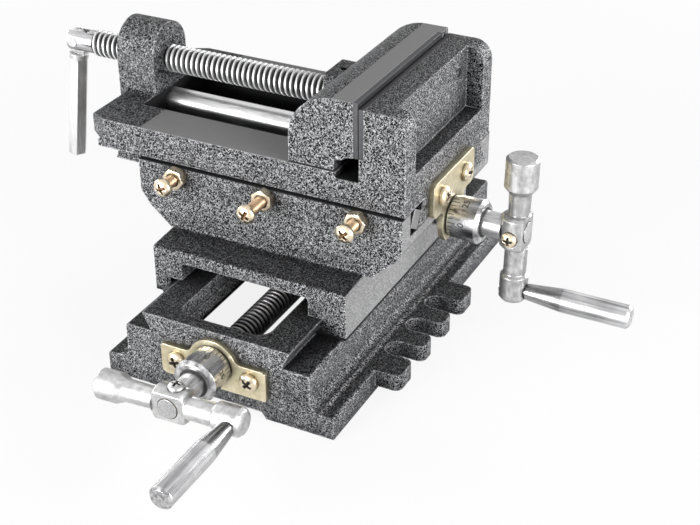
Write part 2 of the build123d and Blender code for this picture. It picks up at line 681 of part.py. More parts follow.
# Bearing brackets: a plate with a hump round the lead screw
width, low, high = FRONT_BRACKET
front_sketch = outline([
    (-width / 2, low, 3), (width / 2, low, 1.5), (width / 2, high, 2.5), (-width / 2, high, 1.5),
])
front_sketch += Pos(0, FRONT_AXIS_Z) * Circle(BRACKET_HUMP)
waist = front_sketch.vertices().filter_by(lambda v: abs(v.Y - high) < 0.01 and abs(v.X) < BRACKET_HUMP)
front_sketch = fillet(waist, 4.0)
front_seat = Plane(origin=(0, front_face, 0), x_dir=(1, 0, 0), z_dir=(0, -1, 0))
front_bracket = extrude(front_seat * front_sketch, amount=BRACKET)
front_bracket -= rod_y(JOURNAL + 2 * RUNNING, front_face - 10, front_face + 1, 0, FRONT_AXIS_Z)
front_screws = Part()
for side in (-1, 1):
    x = side * FRONT_BRACKET_HOLES[0] / 2
    z = FRONT_BRACKET_HOLES[1]
    front_bracket -= rod_y(BRACKET_SCREW + 2 * SEAT, front_face - 10, front_face + 1, x, z)
    seat = Plane(origin=(x, front_face - BRACKET, z), x_dir=(0, -1, 0), z_dir=(0, 0, 1))
    front_screws += pan_screw(
        seat, BRACKET_SCREW, BRACKET + BASE_WALL - 0.5, BRACKET_HEAD, BRACKET_HEAD_HEIGHT
    )
save(front_bracket, "base_bracket")
save(front_screws, "base_bracket_screws")

width, low, high = CROSS_BRACKET
cross_sketch = outline([
    (-width / 2, low, 4), (width / 2, low, 4), (width / 2, high, 3), (-width / 2, high, 3),
])
cross_sketch += Pos(0, CROSS_AXIS_Z) * Circle(BRACKET_HUMP)
waist = cross_sketch.vertices().filter_by(lambda v: abs(v.Y - low) < 0.01 and abs(v.X) < BRACKET_HUMP)
cross_sketch = fillet(waist, 4.0)
below_cut = Pos(0, CROSS_BRACKET_CUT - BRACKET_HUMP) * Rectangle(4 * BRACKET_HUMP, 2 * BRACKET_HUMP)
cross_sketch -= below_cut
cross_seat = Plane(origin=(body_right, SADDLE_Y, 0), x_dir=(0, 1, 0), z_dir=(1, 0, 0))
cross_bracket = extrude(cross_seat * cross_sketch, amount=BRACKET)
cross_bracket -= rod_x(JOURNAL + 2 * RUNNING, body_right - 1, body_right + 10, SADDLE_Y, CROSS_AXIS_Z)
cross_screws = Part()
for side in (-1, 1):
    y = SADDLE_Y + side * CROSS_BRACKET_HOLES[0] / 2
    z = CROSS_BRACKET_HOLES[1]
    cross_bracket -= rod_x(BRACKET_SCREW + 2 * SEAT, body_right - 1, body_right + 10, y, z)
    seat = Plane(origin=(body_right + BRACKET, y, z), x_dir=(1, 0, 0), z_dir=(0, 0, 1))
    cross_screws += pan_screw(
        seat, BRACKET_SCREW, BRACKET + END_WALL - 2, BRACKET_HEAD, BRACKET_HEAD_HEIGHT
    )
save(cross_bracket, "cross_bracket")
save(cross_screws, "cross_bracket_screws")

# Vise body: slab with its dovetail, rails, lug and fixed jaw
lip_bottom = RAIL_Z - BODY_LIP
slab_section = [
    (body_right, SHOULDER_Z), (body_right, RAIL_Z), (BODY_LEFT, RAIL_Z, 1.5), (BODY_LEFT, lip_bottom),
    (BODY_LEFT + BODY_UNDERCUT, lip_bottom - BODY_LIP_SLOPE), (BODY_LEFT + BODY_UNDERCUT, SHOULDER_Z),
]
body = prism_y(slab_section, near_face, far_face)
for side in (-1, 1):
    y = SADDLE_Y + side * JAW_WIDTH / 2
    cut = [
        (BODY_LEFT - 1, y + side), (BODY_LEFT - 1, y - side * CORNER_CUT_Y),
        (BODY_LEFT, y - side * CORNER_CUT_Y), (BODY_LEFT + CORNER_CUT_X, y), (BODY_LEFT + CORNER_CUT_X, y + side),
    ]
    body -= prism_z(cut, lip_bottom - BODY_LIP_SLOPE, RAIL_Z + 1)
dovetail_top = SHOULDER_Z + 1
rise = (dovetail_top - FOOT_Z) * lean
body_dovetail = [
    (SADDLE_Y + FOOT_NEAR, FOOT_Z), (SADDLE_Y + FOOT_FAR, FOOT_Z),
    (SADDLE_Y + FOOT_FAR - rise, dovetail_top), (SADDLE_Y + FOOT_NEAR + rise, dovetail_top),
]
body += prism_x(body_dovetail, BODY_LEFT + BODY_UNDERCUT, body_right)

# Fixed jaw: a wall between two ribs whose top corners are rounded
jaw_wall = [
    (jaw_face, RAIL_Z - 1), (jaw_back, RAIL_Z - 1), (jaw_back, JAW_TOP), (jaw_face, JAW_TOP),
]
body += prism_y(jaw_wall, near_face, far_face)
rib_round = body_right - jaw_back - 0.01
rib = [
    (jaw_back - 2, RAIL_Z - 1), (body_right, RAIL_Z - 1),
    (body_right, JAW_TOP, rib_round), (jaw_back - 2, JAW_TOP),
]
body += prism_y(rib, near_face, near_face + RIB)
body += prism_y(rib, far_face - RIB, far_face)
body += block(jaw_back - 2, body_right, near_face, far_face, RAIL_Z - 2, POCKET_Z)

# Seat of the fixed jaw plate, and the relief pit at the jaw's foot
body -= block(jaw_face - 1, jaw_face + JAW_PLATE, near_face - 1, plate_end, PLATE_BOTTOM, JAW_TOP + 1)
body -= block(jaw_face - PIT_LENGTH, jaw_face, near_face - 1, far_face + 1, RAIL_Z - PIT_DEPTH, RAIL_Z + 1)

# Slot between the rails, hollow for the cross lead screw's nut
body -= block(LUG_RIGHT, jaw_face, SADDLE_Y - RAIL_INNER, SADDLE_Y + RAIL_INNER, BED_Z, RAIL_Z + 1)
underside = [
    (SADDLE_Y - UNDERSIDE_HALF, FOOT_Z - 1), (SADDLE_Y + UNDERSIDE_HALF, FOOT_Z - 1),
    (SADDLE_Y + UNDERSIDE_HALF, UNDERSIDE_Z, 3), (SADDLE_Y - UNDERSIDE_HALF, UNDERSIDE_Z, 3),
]
body -= prism_x(underside, BODY_LEFT - 1, body_right - END_WALL)

# Lug with a round top, joined to the slab by a fillet
lug = [
    (SADDLE_Y - LUG_HALF, SHOULDER_Z), (SADDLE_Y + LUG_HALF, SHOULDER_Z),
    (SADDLE_Y + LUG_HALF, LUG_ARC_Z + LUG_HALF, LUG_HALF - 0.01),
    (SADDLE_Y - LUG_HALF, LUG_ARC_Z + LUG_HALF, LUG_HALF - 0.01),
]
body += prism_x(lug, LUG_LEFT, LUG_RIGHT)
foot_edges = body.edges().filter_by(Axis.X).filter_by(
    lambda e: abs(e.center().Z - RAIL_Z) < 0.05 and abs(abs(e.center().Y - SADDLE_Y) - LUG_HALF) < 0.05
    and e.center().X < LUG_RIGHT
)
body = fillet(foot_edges, LUG_FOOT)

# Holes: clamp screw thread, guide rod sockets, jaw plate screws, bracket screws
body -= rod_x(CLAMP_SCREW + 2 * RUNNING, LUG_LEFT - 1, LUG_RIGHT + 1, SADDLE_Y, CLAMP_AXIS_Z)
body -= rod_x(ROD + 2 * SEAT, LUG_RIGHT - ROD_SOCKET, jaw_face + ROD_SOCKET, SADDLE_Y, ROD_Z)
for side in (-1, 1):
    y = SADDLE_Y + side * PLATE_SCREW_SPREAD / 2
    body -= rod_x(PLATE_SCREW + 2 * SEAT, jaw_face, jaw_back + 1, y, plate_screw_z)
    y = SADDLE_Y + side * CROSS_BRACKET_HOLES[0] / 2
    body -= rod_x(
        BRACKET_SCREW + 2 * SEAT, body_right - END_WALL - 1, body_right + 1, y, CROSS_BRACKET_HOLES[1]
    )
save(body, "vise_body")
save(rod_x(ROD, LUG_RIGHT - ROD_SOCKET, jaw_face + ROD_SOCKET, SADDLE_Y, ROD_Z), "guide_rod")


# Jaw plates, each held by two headless screws from behind
def jaw_plate(x_from, top):
    plate = block(x_from, x_from + JAW_PLATE, near_face, plate_end, PLATE_BOTTOM, top)
    return plate


def plate_screw_pair(x_from, x_to):
    pair = Part()
    for side in (-1, 1):
        y = SADDLE_Y + side * PLATE_SCREW_SPREAD / 2
        axis = Plane(origin=(x_from, y, plate_screw_z), x_dir=(1, 0, 0), z_dir=(0, 0, 1))
        radius = PLATE_SCREW / 2
        length = x_to - x_from
        profile = [(0, radius - 0.4), (0.4, radius), (length - 0.4, radius), (length, radius - 0.4)]
        pair += turned(axis, profile)
    return pair


plate_bite = jaw_face + JAW_PLATE - PLATE_SCREW_BITE
fixed_screws = plate_screw_pair(plate_bite, plate_bite + PLATE_SCREW_LENGTH)
save(jaw_plate(jaw_face, JAW_TOP) - fixed_screws, "fixed_jaw_plate")
save(fixed_screws, "fixed_jaw_plate_screws")
slider_bite = slider_front + PLATE_SCREW_BITE
slider_screws = plate_screw_pair(slider_bite - PLATE_SCREW_LENGTH, slider_bite)
save(jaw_plate(slider_front, SLIDER_TOP) - slider_screws, "movable_jaw_plate")
save(slider_screws, "movable_jaw_plate_screws")

# Movable jaw: rounded back, notch under its plate, tongue between the rails, boss round the screw
jaw_section = [
    (slider_rear, RAIL_Z + SLIDING), (slider_front - 10.3, RAIL_Z + SLIDING),
    (slider_front - 9.8, RAIL_Z + 6.5),
    (slider_front - 5.4, RAIL_Z + 7.2), (slider_front - 4.9, RAIL_Z + 8.5), (slider_front, PLATE_BOTTOM),
    (slider_front, SLIDER_TOP), (slider_rear, SLIDER_TOP, SLIDER_ROUND),
]
jaw = prism_y(jaw_section, near_face, far_face)
jaw += block(
    slider_front - 1, slider_front + JAW_PLATE - 0.1, plate_end, far_face, PLATE_BOTTOM, SLIDER_TOP
)
tongue_half = RAIL_INNER - 2 * SLIDING
tongue_from = slider_rear + TONGUE_SETBACK
tongue_to = slider_front - TONGUE_SHORT
jaw += block(
    tongue_from, tongue_to, SADDLE_Y - tongue_half, SADDLE_Y + tongue_half,
    BED_Z + TONGUE_LIFT, RAIL_Z + 1,
)
boss = [
    (SADDLE_Y - SCREW_BOSS_HALF, SCREW_BOSS_BOTTOM, 3), (SADDLE_Y + SCREW_BOSS_HALF, SCREW_BOSS_BOTTOM, 3),
    (SADDLE_Y + SCREW_BOSS_HALF, SCREW_BOSS_TOP, 1), (SADDLE_Y - SCREW_BOSS_HALF, SCREW_BOSS_TOP, 1),
]
jaw += prism_x(boss, boss_from, slider_rear + 12)
jaw -= rod_x(CLAMP_NECK + 2 * RUNNING, boss_from - 1, neck_end + 0.3, SADDLE_Y, CLAMP_AXIS_Z)
jaw -= rod_x(ROD + 2 * RUNNING, tongue_from - 1, tongue_to + 1, SADDLE_Y, ROD_Z)
jaw -= rod_z(KEEPER + 2 * SEAT, CLAMP_AXIS_Z, SCREW_BOSS_TOP + 4, keeper_x, SADDLE_Y)
for side in (-1, 1):
    y = SADDLE_Y + side * PLATE_SCREW_SPREAD / 2
    jaw -= rod_x(PLATE_SCREW + 2 * SEAT, slider_rear - 1, slider_front + 1, y, plate_screw_z)
save(jaw, "movable_jaw")
keeper_tip = CLAMP_AXIS_Z + CLAMP_NECK / 2 - 1.5
save(rod_z(KEEPER, keeper_tip, SCREW_BOSS_TOP - 2.5, keeper_x, SADDLE_Y), "clamp_screw_keeper")

# Clamp screw with its forked head
screw_axis = Plane(origin=(0, SADDLE_Y, CLAMP_AXIS_Z), x_dir=(1, 0, 0), z_dir=(0, 0, 1))
groove = CLAMP_NECK / 2 - 1.5 - RUNNING
clamp_screw = turned(screw_axis, [
    (CLAMP_HEAD_END, CLAMP_HEAD / 2 - 1.2),
    (CLAMP_HEAD_END + 1.2, CLAMP_HEAD / 2),
    (CLAMP_THREAD_START, CLAMP_HEAD / 2),
    (CLAMP_THREAD_START + 1.0, CLAMP_SCREW / 2),
    (boss_from - 0.4, CLAMP_SCREW / 2),
    (boss_from - 0.4, CLAMP_NECK / 2),
    (keeper_x - KEEPER / 2 - 0.1, CLAMP_NECK / 2),
    (keeper_x - KEEPER / 2 - 0.1, groove),
    (keeper_x + KEEPER / 2 + 0.1, groove),
    (keeper_x + KEEPER / 2 + 0.1, CLAMP_NECK / 2),
    (neck_end - 0.8, CLAMP_NECK / 2),
    (neck_end, CLAMP_NECK / 2 - 0.8),
])
half_gap = FORK_GAP / 2
clamp_screw -= block(
    CLAMP_HEAD_END - 1, CLAMP_HEAD_END + FORK_DEPTH, SADDLE_Y - half_gap, SADDLE_Y + half_gap,
    CLAMP_AXIS_Z - CLAMP_HEAD, CLAMP_AXIS_Z + CLAMP_HEAD,
)
clamp_screw -= rod_y(CROSS_PIN + 2 * SEAT, SADDLE_Y - 10, SADDLE_Y + 10, CROSS_PIN_X, CLAMP_AXIS_Z)
save(clamp_screw, "clamp_screw")
pin_half = CLAMP_HEAD / 2 + 0.3
save(
    rod_y(CROSS_PIN, SADDLE_Y - pin_half, SADDLE_Y + pin_half, CROSS_PIN_X, CLAMP_AXIS_Z),
    "clamp_cross_pin",
)

# Folding handle: an eye in the fork, a collar, a hexagon bar
pivot = Pos(CROSS_PIN_X, SADDLE_Y, CLAMP_AXIS_Z) * Rot(0, HANDLE_TILT, 0)
eye_half = half_gap - SLIDING
eye = prism_y([
    (-4.6, -HANDLE_COLLAR_FROM - 1), (4.6, -HANDLE_COLLAR_FROM - 1), (4.6, 4.6, 4.59), (-4.6, 4.6, 4.59),
], -eye_half, eye_half)
collar = rod_z(HANDLE_COLLAR, -HANDLE_COLLAR_TO, -HANDLE_COLLAR_FROM, 0, 0)
bar_plane = Plane(origin=(0, 0, -HANDLE_LENGTH), x_dir=(1, 0, 0), z_dir=(0, 0, 1))
bar = hexagon_prism(bar_plane, HANDLE_BAR, HANDLE_LENGTH - HANDLE_COLLAR_TO + 1)
handle = eye + collar + bar - rod_y(CROSS_PIN + 2 * RUNNING, -5, 5, 0, 0)
save(pivot * handle, "clamp_handle")
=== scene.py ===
# %% [markdown]
# # A cross slide vise, dressed for a picture
#
# The packed CAD model is the skeleton: every casting, screw and crank is already in its place, in metres.
# What CAD leaves out on purpose is added here: threads, the cross recesses of the screws, the scale of the
# dials, and above all the finishes. A vise like this is a set of castings in hammered paint, with bright
# turned steel and yellow zinc plate against it.
#
# The first cell loads the model, and gives a way to measure the box of any of its parts.

# %% Load the packed vise
import json
import math

import bmesh
import bpy
from mathutils import Matrix, Vector

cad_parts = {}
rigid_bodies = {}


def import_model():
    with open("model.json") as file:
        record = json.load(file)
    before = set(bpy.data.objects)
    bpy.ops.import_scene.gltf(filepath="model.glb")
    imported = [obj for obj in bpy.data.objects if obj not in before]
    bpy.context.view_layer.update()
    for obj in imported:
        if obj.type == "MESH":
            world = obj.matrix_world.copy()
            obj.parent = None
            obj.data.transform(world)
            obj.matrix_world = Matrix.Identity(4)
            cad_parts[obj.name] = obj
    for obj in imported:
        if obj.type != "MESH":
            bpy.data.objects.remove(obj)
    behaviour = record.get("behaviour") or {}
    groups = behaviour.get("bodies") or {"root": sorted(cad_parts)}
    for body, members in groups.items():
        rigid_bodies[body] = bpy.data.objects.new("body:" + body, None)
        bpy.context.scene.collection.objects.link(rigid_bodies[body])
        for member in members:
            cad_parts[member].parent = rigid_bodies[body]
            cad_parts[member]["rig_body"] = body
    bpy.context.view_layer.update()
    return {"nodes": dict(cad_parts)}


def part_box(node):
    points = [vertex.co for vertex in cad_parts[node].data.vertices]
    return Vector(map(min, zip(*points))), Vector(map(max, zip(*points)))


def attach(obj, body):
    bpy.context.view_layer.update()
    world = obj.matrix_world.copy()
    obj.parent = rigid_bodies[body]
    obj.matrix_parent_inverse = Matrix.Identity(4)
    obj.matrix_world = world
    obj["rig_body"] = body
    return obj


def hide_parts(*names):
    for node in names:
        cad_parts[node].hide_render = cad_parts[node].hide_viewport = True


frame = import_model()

# %% [markdown]
# ## The camera
#
# The picture is taken from the front right, looking down about thirty degrees, with a long lens, so the
# edges of the castings stay almost parallel. The camera could be aimed with a Track To constraint, but that
# can't hold a roll. So it is built from its two angles and a small roll: three unit vectors become the
# columns of its matrix, because a camera looks along its own -Z.

# %% Put the camera at the photograph's angle
AZIMUTH = math.radians(27.13)
ELEVATION = math.radians(31.07)
ROLL = math.radians(-0.37)
CAMERA_AT = Vector((0.31033, -0.57318, 0.41420))
LENS = 74.25
NEAREST = 0.01

level_right = Vector((math.cos(AZIMUTH), math.sin(AZIMUTH), 0))
level_up = Vector((
    -math.sin(AZIMUTH) * math.sin(ELEVATION),
    math.cos(AZIMUTH) * math.sin(ELEVATION),
    math.cos(ELEVATION),
))
back = level_right.cross(level_up)
right = math.cos(ROLL) * level_right + math.sin(ROLL) * level_up
up = math.cos(ROLL) * level_up - math.sin(ROLL) * level_right

camera_data = bpy.data.cameras.new("camera")
camera_data.lens = LENS
camera_data.clip_start = NEAREST
camera = bpy.data.objects.new("camera", camera_data)
camera.matrix_world = Matrix((
    (right.x, up.x, back.x, CAMERA_AT.x),
    (right.y, up.y, back.y, CAMERA_AT.y),
    (right.z, up.z, back.z, CAMERA_AT.z),
    (0, 0, 0, 1),
))
bpy.context.scene.collection.objects.link(camera)
bpy.context.scene.camera = camera
print("camera looks along", [round(v, 3) for v in -back])

# %% [markdown]
# ## Shader maths as plain expressions
#
# A procedural finish is arithmetic on noise and on places. It can be wired by hand in the node editor, but
# a long formula is then hard to read and to change. So one small class wraps the output of a node: adding,
# subtracting or multiplying two of them adds the Math node. Masks are such expressions too: 1 where
# something is so, 0 elsewhere, and a product of masks is 1 only where all of them are.


# %% Wrap a socket, so that an expression adds its nodes
class Signal:
    """The output of a node, with arithmetic."""

    def __init__(self, nodes, socket):
        self.nodes = nodes
        self.socket = socket

    def math(self, operation, *others):
        return self.nodes.add("ShaderNodeMath", {"operation": operation}, (self, *others))

    def __add__(self, other):
        return self.math("ADD", other)

    def __radd__(self, other):
        return self.math("ADD", other)

    def __sub__(self, other):
        return self.math("SUBTRACT", other)

    def __rsub__(self, other):
        return self.nodes.add("ShaderNodeMath", {"operation": "SUBTRACT"}, (other, self))

    def __mul__(self, other):
        return self.math("MULTIPLY", other)

    def __rmul__(self, other):
        return self.math("MULTIPLY", other)

    def abs(self):
        return self.math("ABSOLUTE")

    def smallest(self, other):
        return self.math("MINIMUM", other)

    def largest(self, other):
        return self.math("MAXIMUM", other)

    def above(self, edge):
        """1 above the edge, 0 below it."""
        return self.math("GREATER_THAN", edge)

    def between(self, low, high):
        """1 from low to high, 0 outside."""
        return self.above(low) * (1.0 - self.above(high))

    def spread(self, low, high, to_low=0.0, to_high=1.0):
        """Moves the range low..high to to_low..to_high, clamped."""
        return self.nodes.add("ShaderNodeMapRange", {"clamp": True}, (self, low, high, to_low, to_high))

    def parts(self):
        """X, Y and Z of a vector."""
        node = self.nodes.add("ShaderNodeSeparateXYZ", {}, (self,)).socket.node
        return [Signal(self.nodes, output) for output in node.outputs]


print("a signal knows", [name for name in vars(Signal) if not name.startswith("__")])

# %% [markdown]
# ## One way to add a node
#
# Every other node comes from one method: its type, then its settings, then its sockets. The settings go
# first, because a node such as Mix shows other sockets once it knows that it mixes colours. A Math node
# would turn a colour grey, so colours go through Mix, and vectors through Vector Math. The same class
# serves the materials and the sky, and a finish is such a set of nodes round one Principled shader.


# %% Add nodes through one method
class Nodes:
    """The nodes of one material or world."""

    def __init__(self, owner):
        owner.use_nodes = True
        self.tree = owner.node_tree

    def feed(self, socket, value):
        """Links a signal to a socket, or writes a number, vector or colour into it."""
        if isinstance(value, Signal):
            self.tree.links.new(value.socket, socket)
        else:
            if isinstance(value, tuple) and len(value) == 3 and len(socket.default_value) == 4:
                value = (*value, 1.0)
            socket.default_value = value

    def add(self, kind, settings=None, sockets=(), output=0):
        """Adds a node: its settings, then its sockets, which come in order, or by name or number."""
        node = self.tree.nodes.new(kind)
        for key, value in (settings or {}).items():
            setattr(node, key, value)
        pairs = sockets.items() if isinstance(sockets, dict) else enumerate(sockets)
        for key, value in pairs:
            self.feed(node.inputs[key], value)
        return Signal(self, node.outputs[output])


class Finish(Nodes):
    """A material built round one Principled shader."""

    def __init__(self, name, **constants):
        self.material = bpy.data.materials.new(name)
        super().__init__(self.material)
        self.shader = self.tree.nodes["Principled BSDF"]
        self.set(**constants)

    def set(self, **sockets):
        for key, value in sockets.items():
            self.feed(self.shader.inputs[key.replace("_", " ")], value)

    def mix(self, factor, one, two):
        """A colour between two colours."""
        return self.add("ShaderNodeMix", {"data_type": "RGBA"}, {0: factor, 6: one, 7: two}, output=2)

    def place(self):
        """Where the point is on the piece itself, in millimetres."""
        here = self.add("ShaderNodeTexCoord", output="Object")
        return self.add("ShaderNodeVectorMath", {"operation": "SCALE"}, {0: here, "Scale": 1000.0})

    def facing(self):
        """Which way the surface faces, as seen from the piece itself."""
        return self.add("ShaderNodeTexCoord", output="Normal")

    def stretched(self, place, amounts):
        """A place whose axes are scaled, so that a noise there is drawn out along the smallest of them."""
        return self.add("ShaderNodeVectorMath", {"operation": "MULTIPLY"}, (place, amounts))

    def noise(self, place, scale, detail=2.0, rough=0.5, distortion=0.0):
        sockets = {"Vector": place, "Scale": scale, "Detail": detail, "Roughness": rough}
        return self.add("ShaderNodeTexNoise", {}, {**sockets, "Distortion": distortion})


print("a finish knows", [name for name in vars(Finish) if not name.startswith("__")])

# %% [markdown]
# ## Edges, corners and relief
#
# Three things follow the form of a part. Its edges are never razor sharp: the Bevel node rounds the normals
# over them without touching the mesh, and where the rounded normal leaves the real one, there is an edge,
# which is rubbed bright on metal and gets a painted highlight on paint. Where little of the sky is seen,
# which Ambient Occlusion measures, shade is painted into the colour. And the pattern of a finish is also a
# small relief, which a Bump node shows. A real bevel modifier would round the edges as well, but it would
# break the exact seats of the CAD shapes.


# %% Find edges and corners, and give relief
def rounded_edges(finish, radius, low, high):
    """Normals that are rounded over the edges, and a mask of those edges."""
    rounded = finish.add("ShaderNodeBevel", {"samples": 4}, {"Radius": radius})
    real = finish.add("ShaderNodeNewGeometry", output="Normal")
    same = finish.add("ShaderNodeVectorMath", {"operation": "DOT_PRODUCT"}, (rounded, real), output="Value")
    return rounded, (1.0 - same).spread(low, high)


def closed_in(finish, samples, distance, low, high):
    """A mask of the corners that see little of the sky, where shade is painted into the colour."""
    sky = finish.add("ShaderNodeAmbientOcclusion", {"samples": samples}, {"Distance": distance}, output="AO")
    return 1.0 - sky.spread(low, high)


def relief(finish, height, depth, strength, normal):
    """Height from 0 to 1, times a depth in metres, on top of other normals."""
    sockets = {"Height": height, "Distance": depth, "Strength": strength, "Normal": normal}
    return finish.add("ShaderNodeBump", {}, sockets)


print("edge, corner and relief helpers ready")

# %% [markdown]
# ## Hammered paint: the pattern
#
# Hammered enamel pulls back into small lens-like cells as it dries: shiny light ridges of metal flake round
# darker hollows. It could be an image, but an image has a scale and seams. Here a noise is cut at its
# middle value: a thin band round that value runs like a net between the cells. A slower noise shifts the
# cut, so the net is denser in some places than in others, and a third noise adds stray flecks.

# %% Draw the net of hammered paint
GRAIN = (1.0, 0.68, 0.92)     # cells are a little longer along Y than along X
CELL_SCALE = 0.98             # one cell is about a millimetre
NET_BAND = (0.016, 0.036)     # how far from the noise's middle the net is full, and where it ends
FLECK_SCALE = 1.4
FLECK_BAND = (0.60, 0.66)


def hammer_pattern(paint, place):
    """The light net of the paint and its stray flecks, each from 0 to 1."""
    grain = paint.stretched(place, GRAIN)
    warp = paint.noise(place, 0.25, detail=1.0)
    cells = paint.noise(grain, CELL_SCALE, detail=1.2, distortion=0.5)
    net = 1.0 - (cells + (warp - 0.5) * 0.10 - 0.5).abs().spread(*NET_BAND)
    fleck = paint.noise(grain, FLECK_SCALE, detail=0.0).spread(*FLECK_BAND)
    return net, fleck


print("net between", NET_BAND, "flecks above", FLECK_BAND[0])

# %% [markdown]
# ## Hammered paint: the whole finish
#
# The net and the flecks mix a near black with a light grey. Then shade and light are painted in, following
# the form. Corners that see little of the sky are painted dark, as shade. Faces that look up are painted
# darker than walls, and more so low on the vise: painted shade, since the lamps hang low. Edges get a
# painted highlight. Along one narrow valley of the base, a mask of its own adds a line of bright flecks.
#
# Some faces were machined after painting. Their place is worked out from the coordinates in a mask, so that
# one casting stays one mesh with one material, and its paint ends exactly where the cutter did.

# %% Build the paint of a casting
PAINT_DARK = (0.004, 0.004, 0.005)
PAINT_LIGHT = (0.44, 0.445, 0.455)
# PAINT_BRIGHT is the colour of the painted highlight on edges, and of the line of bright flecks in the base's
# valley.
PAINT_BRIGHT = (0.80, 0.80, 0.81)
IRON_GREY = (0.26, 0.26, 0.26)
# Bare iron in the slot, the pit, at the jaw's foot and along the saddle's seams is nearly black, as painted
# shade.
IRON_IN_SHADE = (0.016, 0.016, 0.017)
PAINT_ROUNDING = 0.0012       # metres, as the two below
PAINT_CORNERS = 0.014
PAINT_RELIEF = 0.00012
IRON_ROUGHNESS = 0.55
IRON_METALLIC = 0.2
# Faces that look up get painted shade, which fades between these two heights.
LOW_AND_HIGH = (60.0, 142.0)  # heights between which faces that look up lose their darkening
DARKENING = (0.64, 0.06)      # how much they are darkened there


def cut_iron(paint, place, tone):
    """The fine lines of a planed face, and its colour."""
    lines = paint.noise(paint.stretched(place, (0.25, 3.0, 1.0)), 1.0, detail=3.0)
    return lines, paint.mix(lines, tuple(v * 0.85 for v in tone), tuple(v * 1.15 for v in tone))


def hammered(name, bright_iron=None, shaded_iron=None, bright_line=None):
    """Hammered paint. Masks say where iron is cut bright, where bare iron is painted nearly black as shade,
    and where a line of bright flecks runs.
    """
    paint = Finish(name, Specular_IOR_Level=0.10)
    place, facing = paint.place(), paint.facing()
    net, fleck = hammer_pattern(paint, place)
    rounded, edge = rounded_edges(paint, PAINT_ROUNDING, 0.01, 0.12)
    # Painted shade: the paint is darkened in corners that see little of the sky.
    darkening_mask = closed_in(paint, 6, PAINT_CORNERS, 0.40, 0.92)
    # Painted shade on faces that look up, stronger low on the vise.
    level = facing.parts()[2].spread(0.55, 0.95) * place.parts()[2].spread(*LOW_AND_HIGH, *DARKENING)
    # The light of the paint, darkened by painted shade and raised by a painted highlight on the edges.
    light = (net * 0.95 + fleck * 0.4) * (1.0 - darkening_mask * 0.85) * (1.0 - level) + edge * 0.25
    # A painted highlight on the edges, mixed towards the brightest colour of the paint.
    glints = edge * (net + fleck * 0.3) * 0.75
    if bright_line is not None:
        glints = glints + bright_line(place, facing) * (net + fleck * 0.5) * 0.75
    colour = paint.mix(glints, paint.mix(light, PAINT_DARK, PAINT_LIGHT), PAINT_BRIGHT)
    rough = light.spread(0.0, 1.0, 0.42, 0.50)
    height, metallic = net, 0.0
    # The second mask colours bare iron nearly black, as painted shade.
    for mask, tone in ((bright_iron, IRON_GREY), (shaded_iron, IRON_IN_SHADE)):
        if mask is None:
            continue
        bare = mask(place, facing)
        lines, iron = cut_iron(paint, place, tone)
        colour = paint.mix(bare, colour, iron)
        rough = rough * (1.0 - bare) + bare * IRON_ROUGHNESS
        height = height * (1.0 - bare) + bare * lines * 0.1
        metallic = bare * IRON_METALLIC + metallic
    normal = relief(paint, height, PAINT_RELIEF, 0.7, rounded)
    paint.set(Base_Color=colour, Roughness=rough, Metallic=metallic, Normal=normal)
    return paint.material


print("paint from", PAINT_DARK, "to", PAINT_LIGHT)

# %% [markdown]
# ## Where the castings are bare
#
# After painting, the bed between the jaws was ground, the saddle was milled on its ends, and its sliding
# faces and the movable jaw's foot were planed. The bare iron deep in the slot and its pit, and at the jaw's
# foot, is coloured nearly black, as painted shade. Each mask is the box of such a face in millimetres. It
# reaches a little into the casting, or stops a little above the next face, so that no face lies exactly on
# its limit.

# %% Mark the bed of the vise body
MIDDLE_Y = -3.0               # the upright plane through the clamp screw
SLOT_HALF = 26.9              # half the width of the slot between the rails
JAW_FOOT_X = 48.4             # where the bed ends at the fixed jaw
BED_Z = 108.0                 # just below the rails' ground faces


def bed_rails(place, facing):
    """The two ground rails of the vise body, from the end of the lug's pad to the fixed jaw."""
    x, y, z = place.parts()
    side = (y - MIDDLE_Y).abs()
    return z.above(BED_Z) * x.between(-71.0, JAW_FOOT_X) * side.above(SLOT_HALF)


def bed_slot(place, facing):
    """The deep slot between the rails, and the pit in front of the fixed jaw: bare iron, nearly black as
    painted shade.
    """
    x, y, z = place.parts()
    side = (y - MIDDLE_Y).abs()
    pit = z.between(105.3, BED_Z - 0.1) * x.between(36.4, JAW_FOOT_X) * side.above(SLOT_HALF)
    within = 1.0 - side.above(SLOT_HALF + 0.2)
    slot = within * z.between(89.0, BED_Z + 0.05) * x.between(-84.6, JAW_FOOT_X + 0.2)
    return (pit + slot).smallest(1.0)


print("bed from x -71 to", JAW_FOOT_X, "above z", BED_Z)

# %% [markdown]
# ## More machined faces
#
# The saddle's milled ends still carry a thin coat of paint, so their mask stays below 1. It also asks which
# way a face looks, since the box alone would take in the sloping faces of the dovetails. The saddle's bare
# top and foot are coloured nearly black, and so is a thin line along its sides, a painted shadow of the
# seams. The line along the base's flanges is no machined face: it is a line of bright flecks along the foot
# of a valley, and its mask fades on both sides.

# %% Mark the machined faces of saddle, base and movable jaw
# The saddle's sides get a thin painted shadow line of the seams, above its foot and below its top.
SADDLE_FOOT_Z = 34.0          # up to here the saddle's sliding foot is machined
SADDLE_TOP_Z = 91.7           # and from here its top
FLANGE_LINE_X = 55.2          # the valley between the base's walls and flanges


def saddle_top(place, facing):
    """Machined top and foot of the saddle, nearly black, and a thin line on its sides painted as the seams'
    shadow.
    """
    x, y, z = place.parts()
    return 1.0 - z.between(SADDLE_FOOT_Z, SADDLE_TOP_Z)


def saddle_ends(place, facing):
    """The milled ends and right side of the saddle, with a thin coat of paint left on them."""
    x, y, z = place.parts()
    milled = (x.abs().above(70.0) + x.above(50.0)).smallest(1.0)
    return milled * facing.parts()[0].abs().above(0.97) * z.above(SADDLE_FOOT_Z) * 0.62


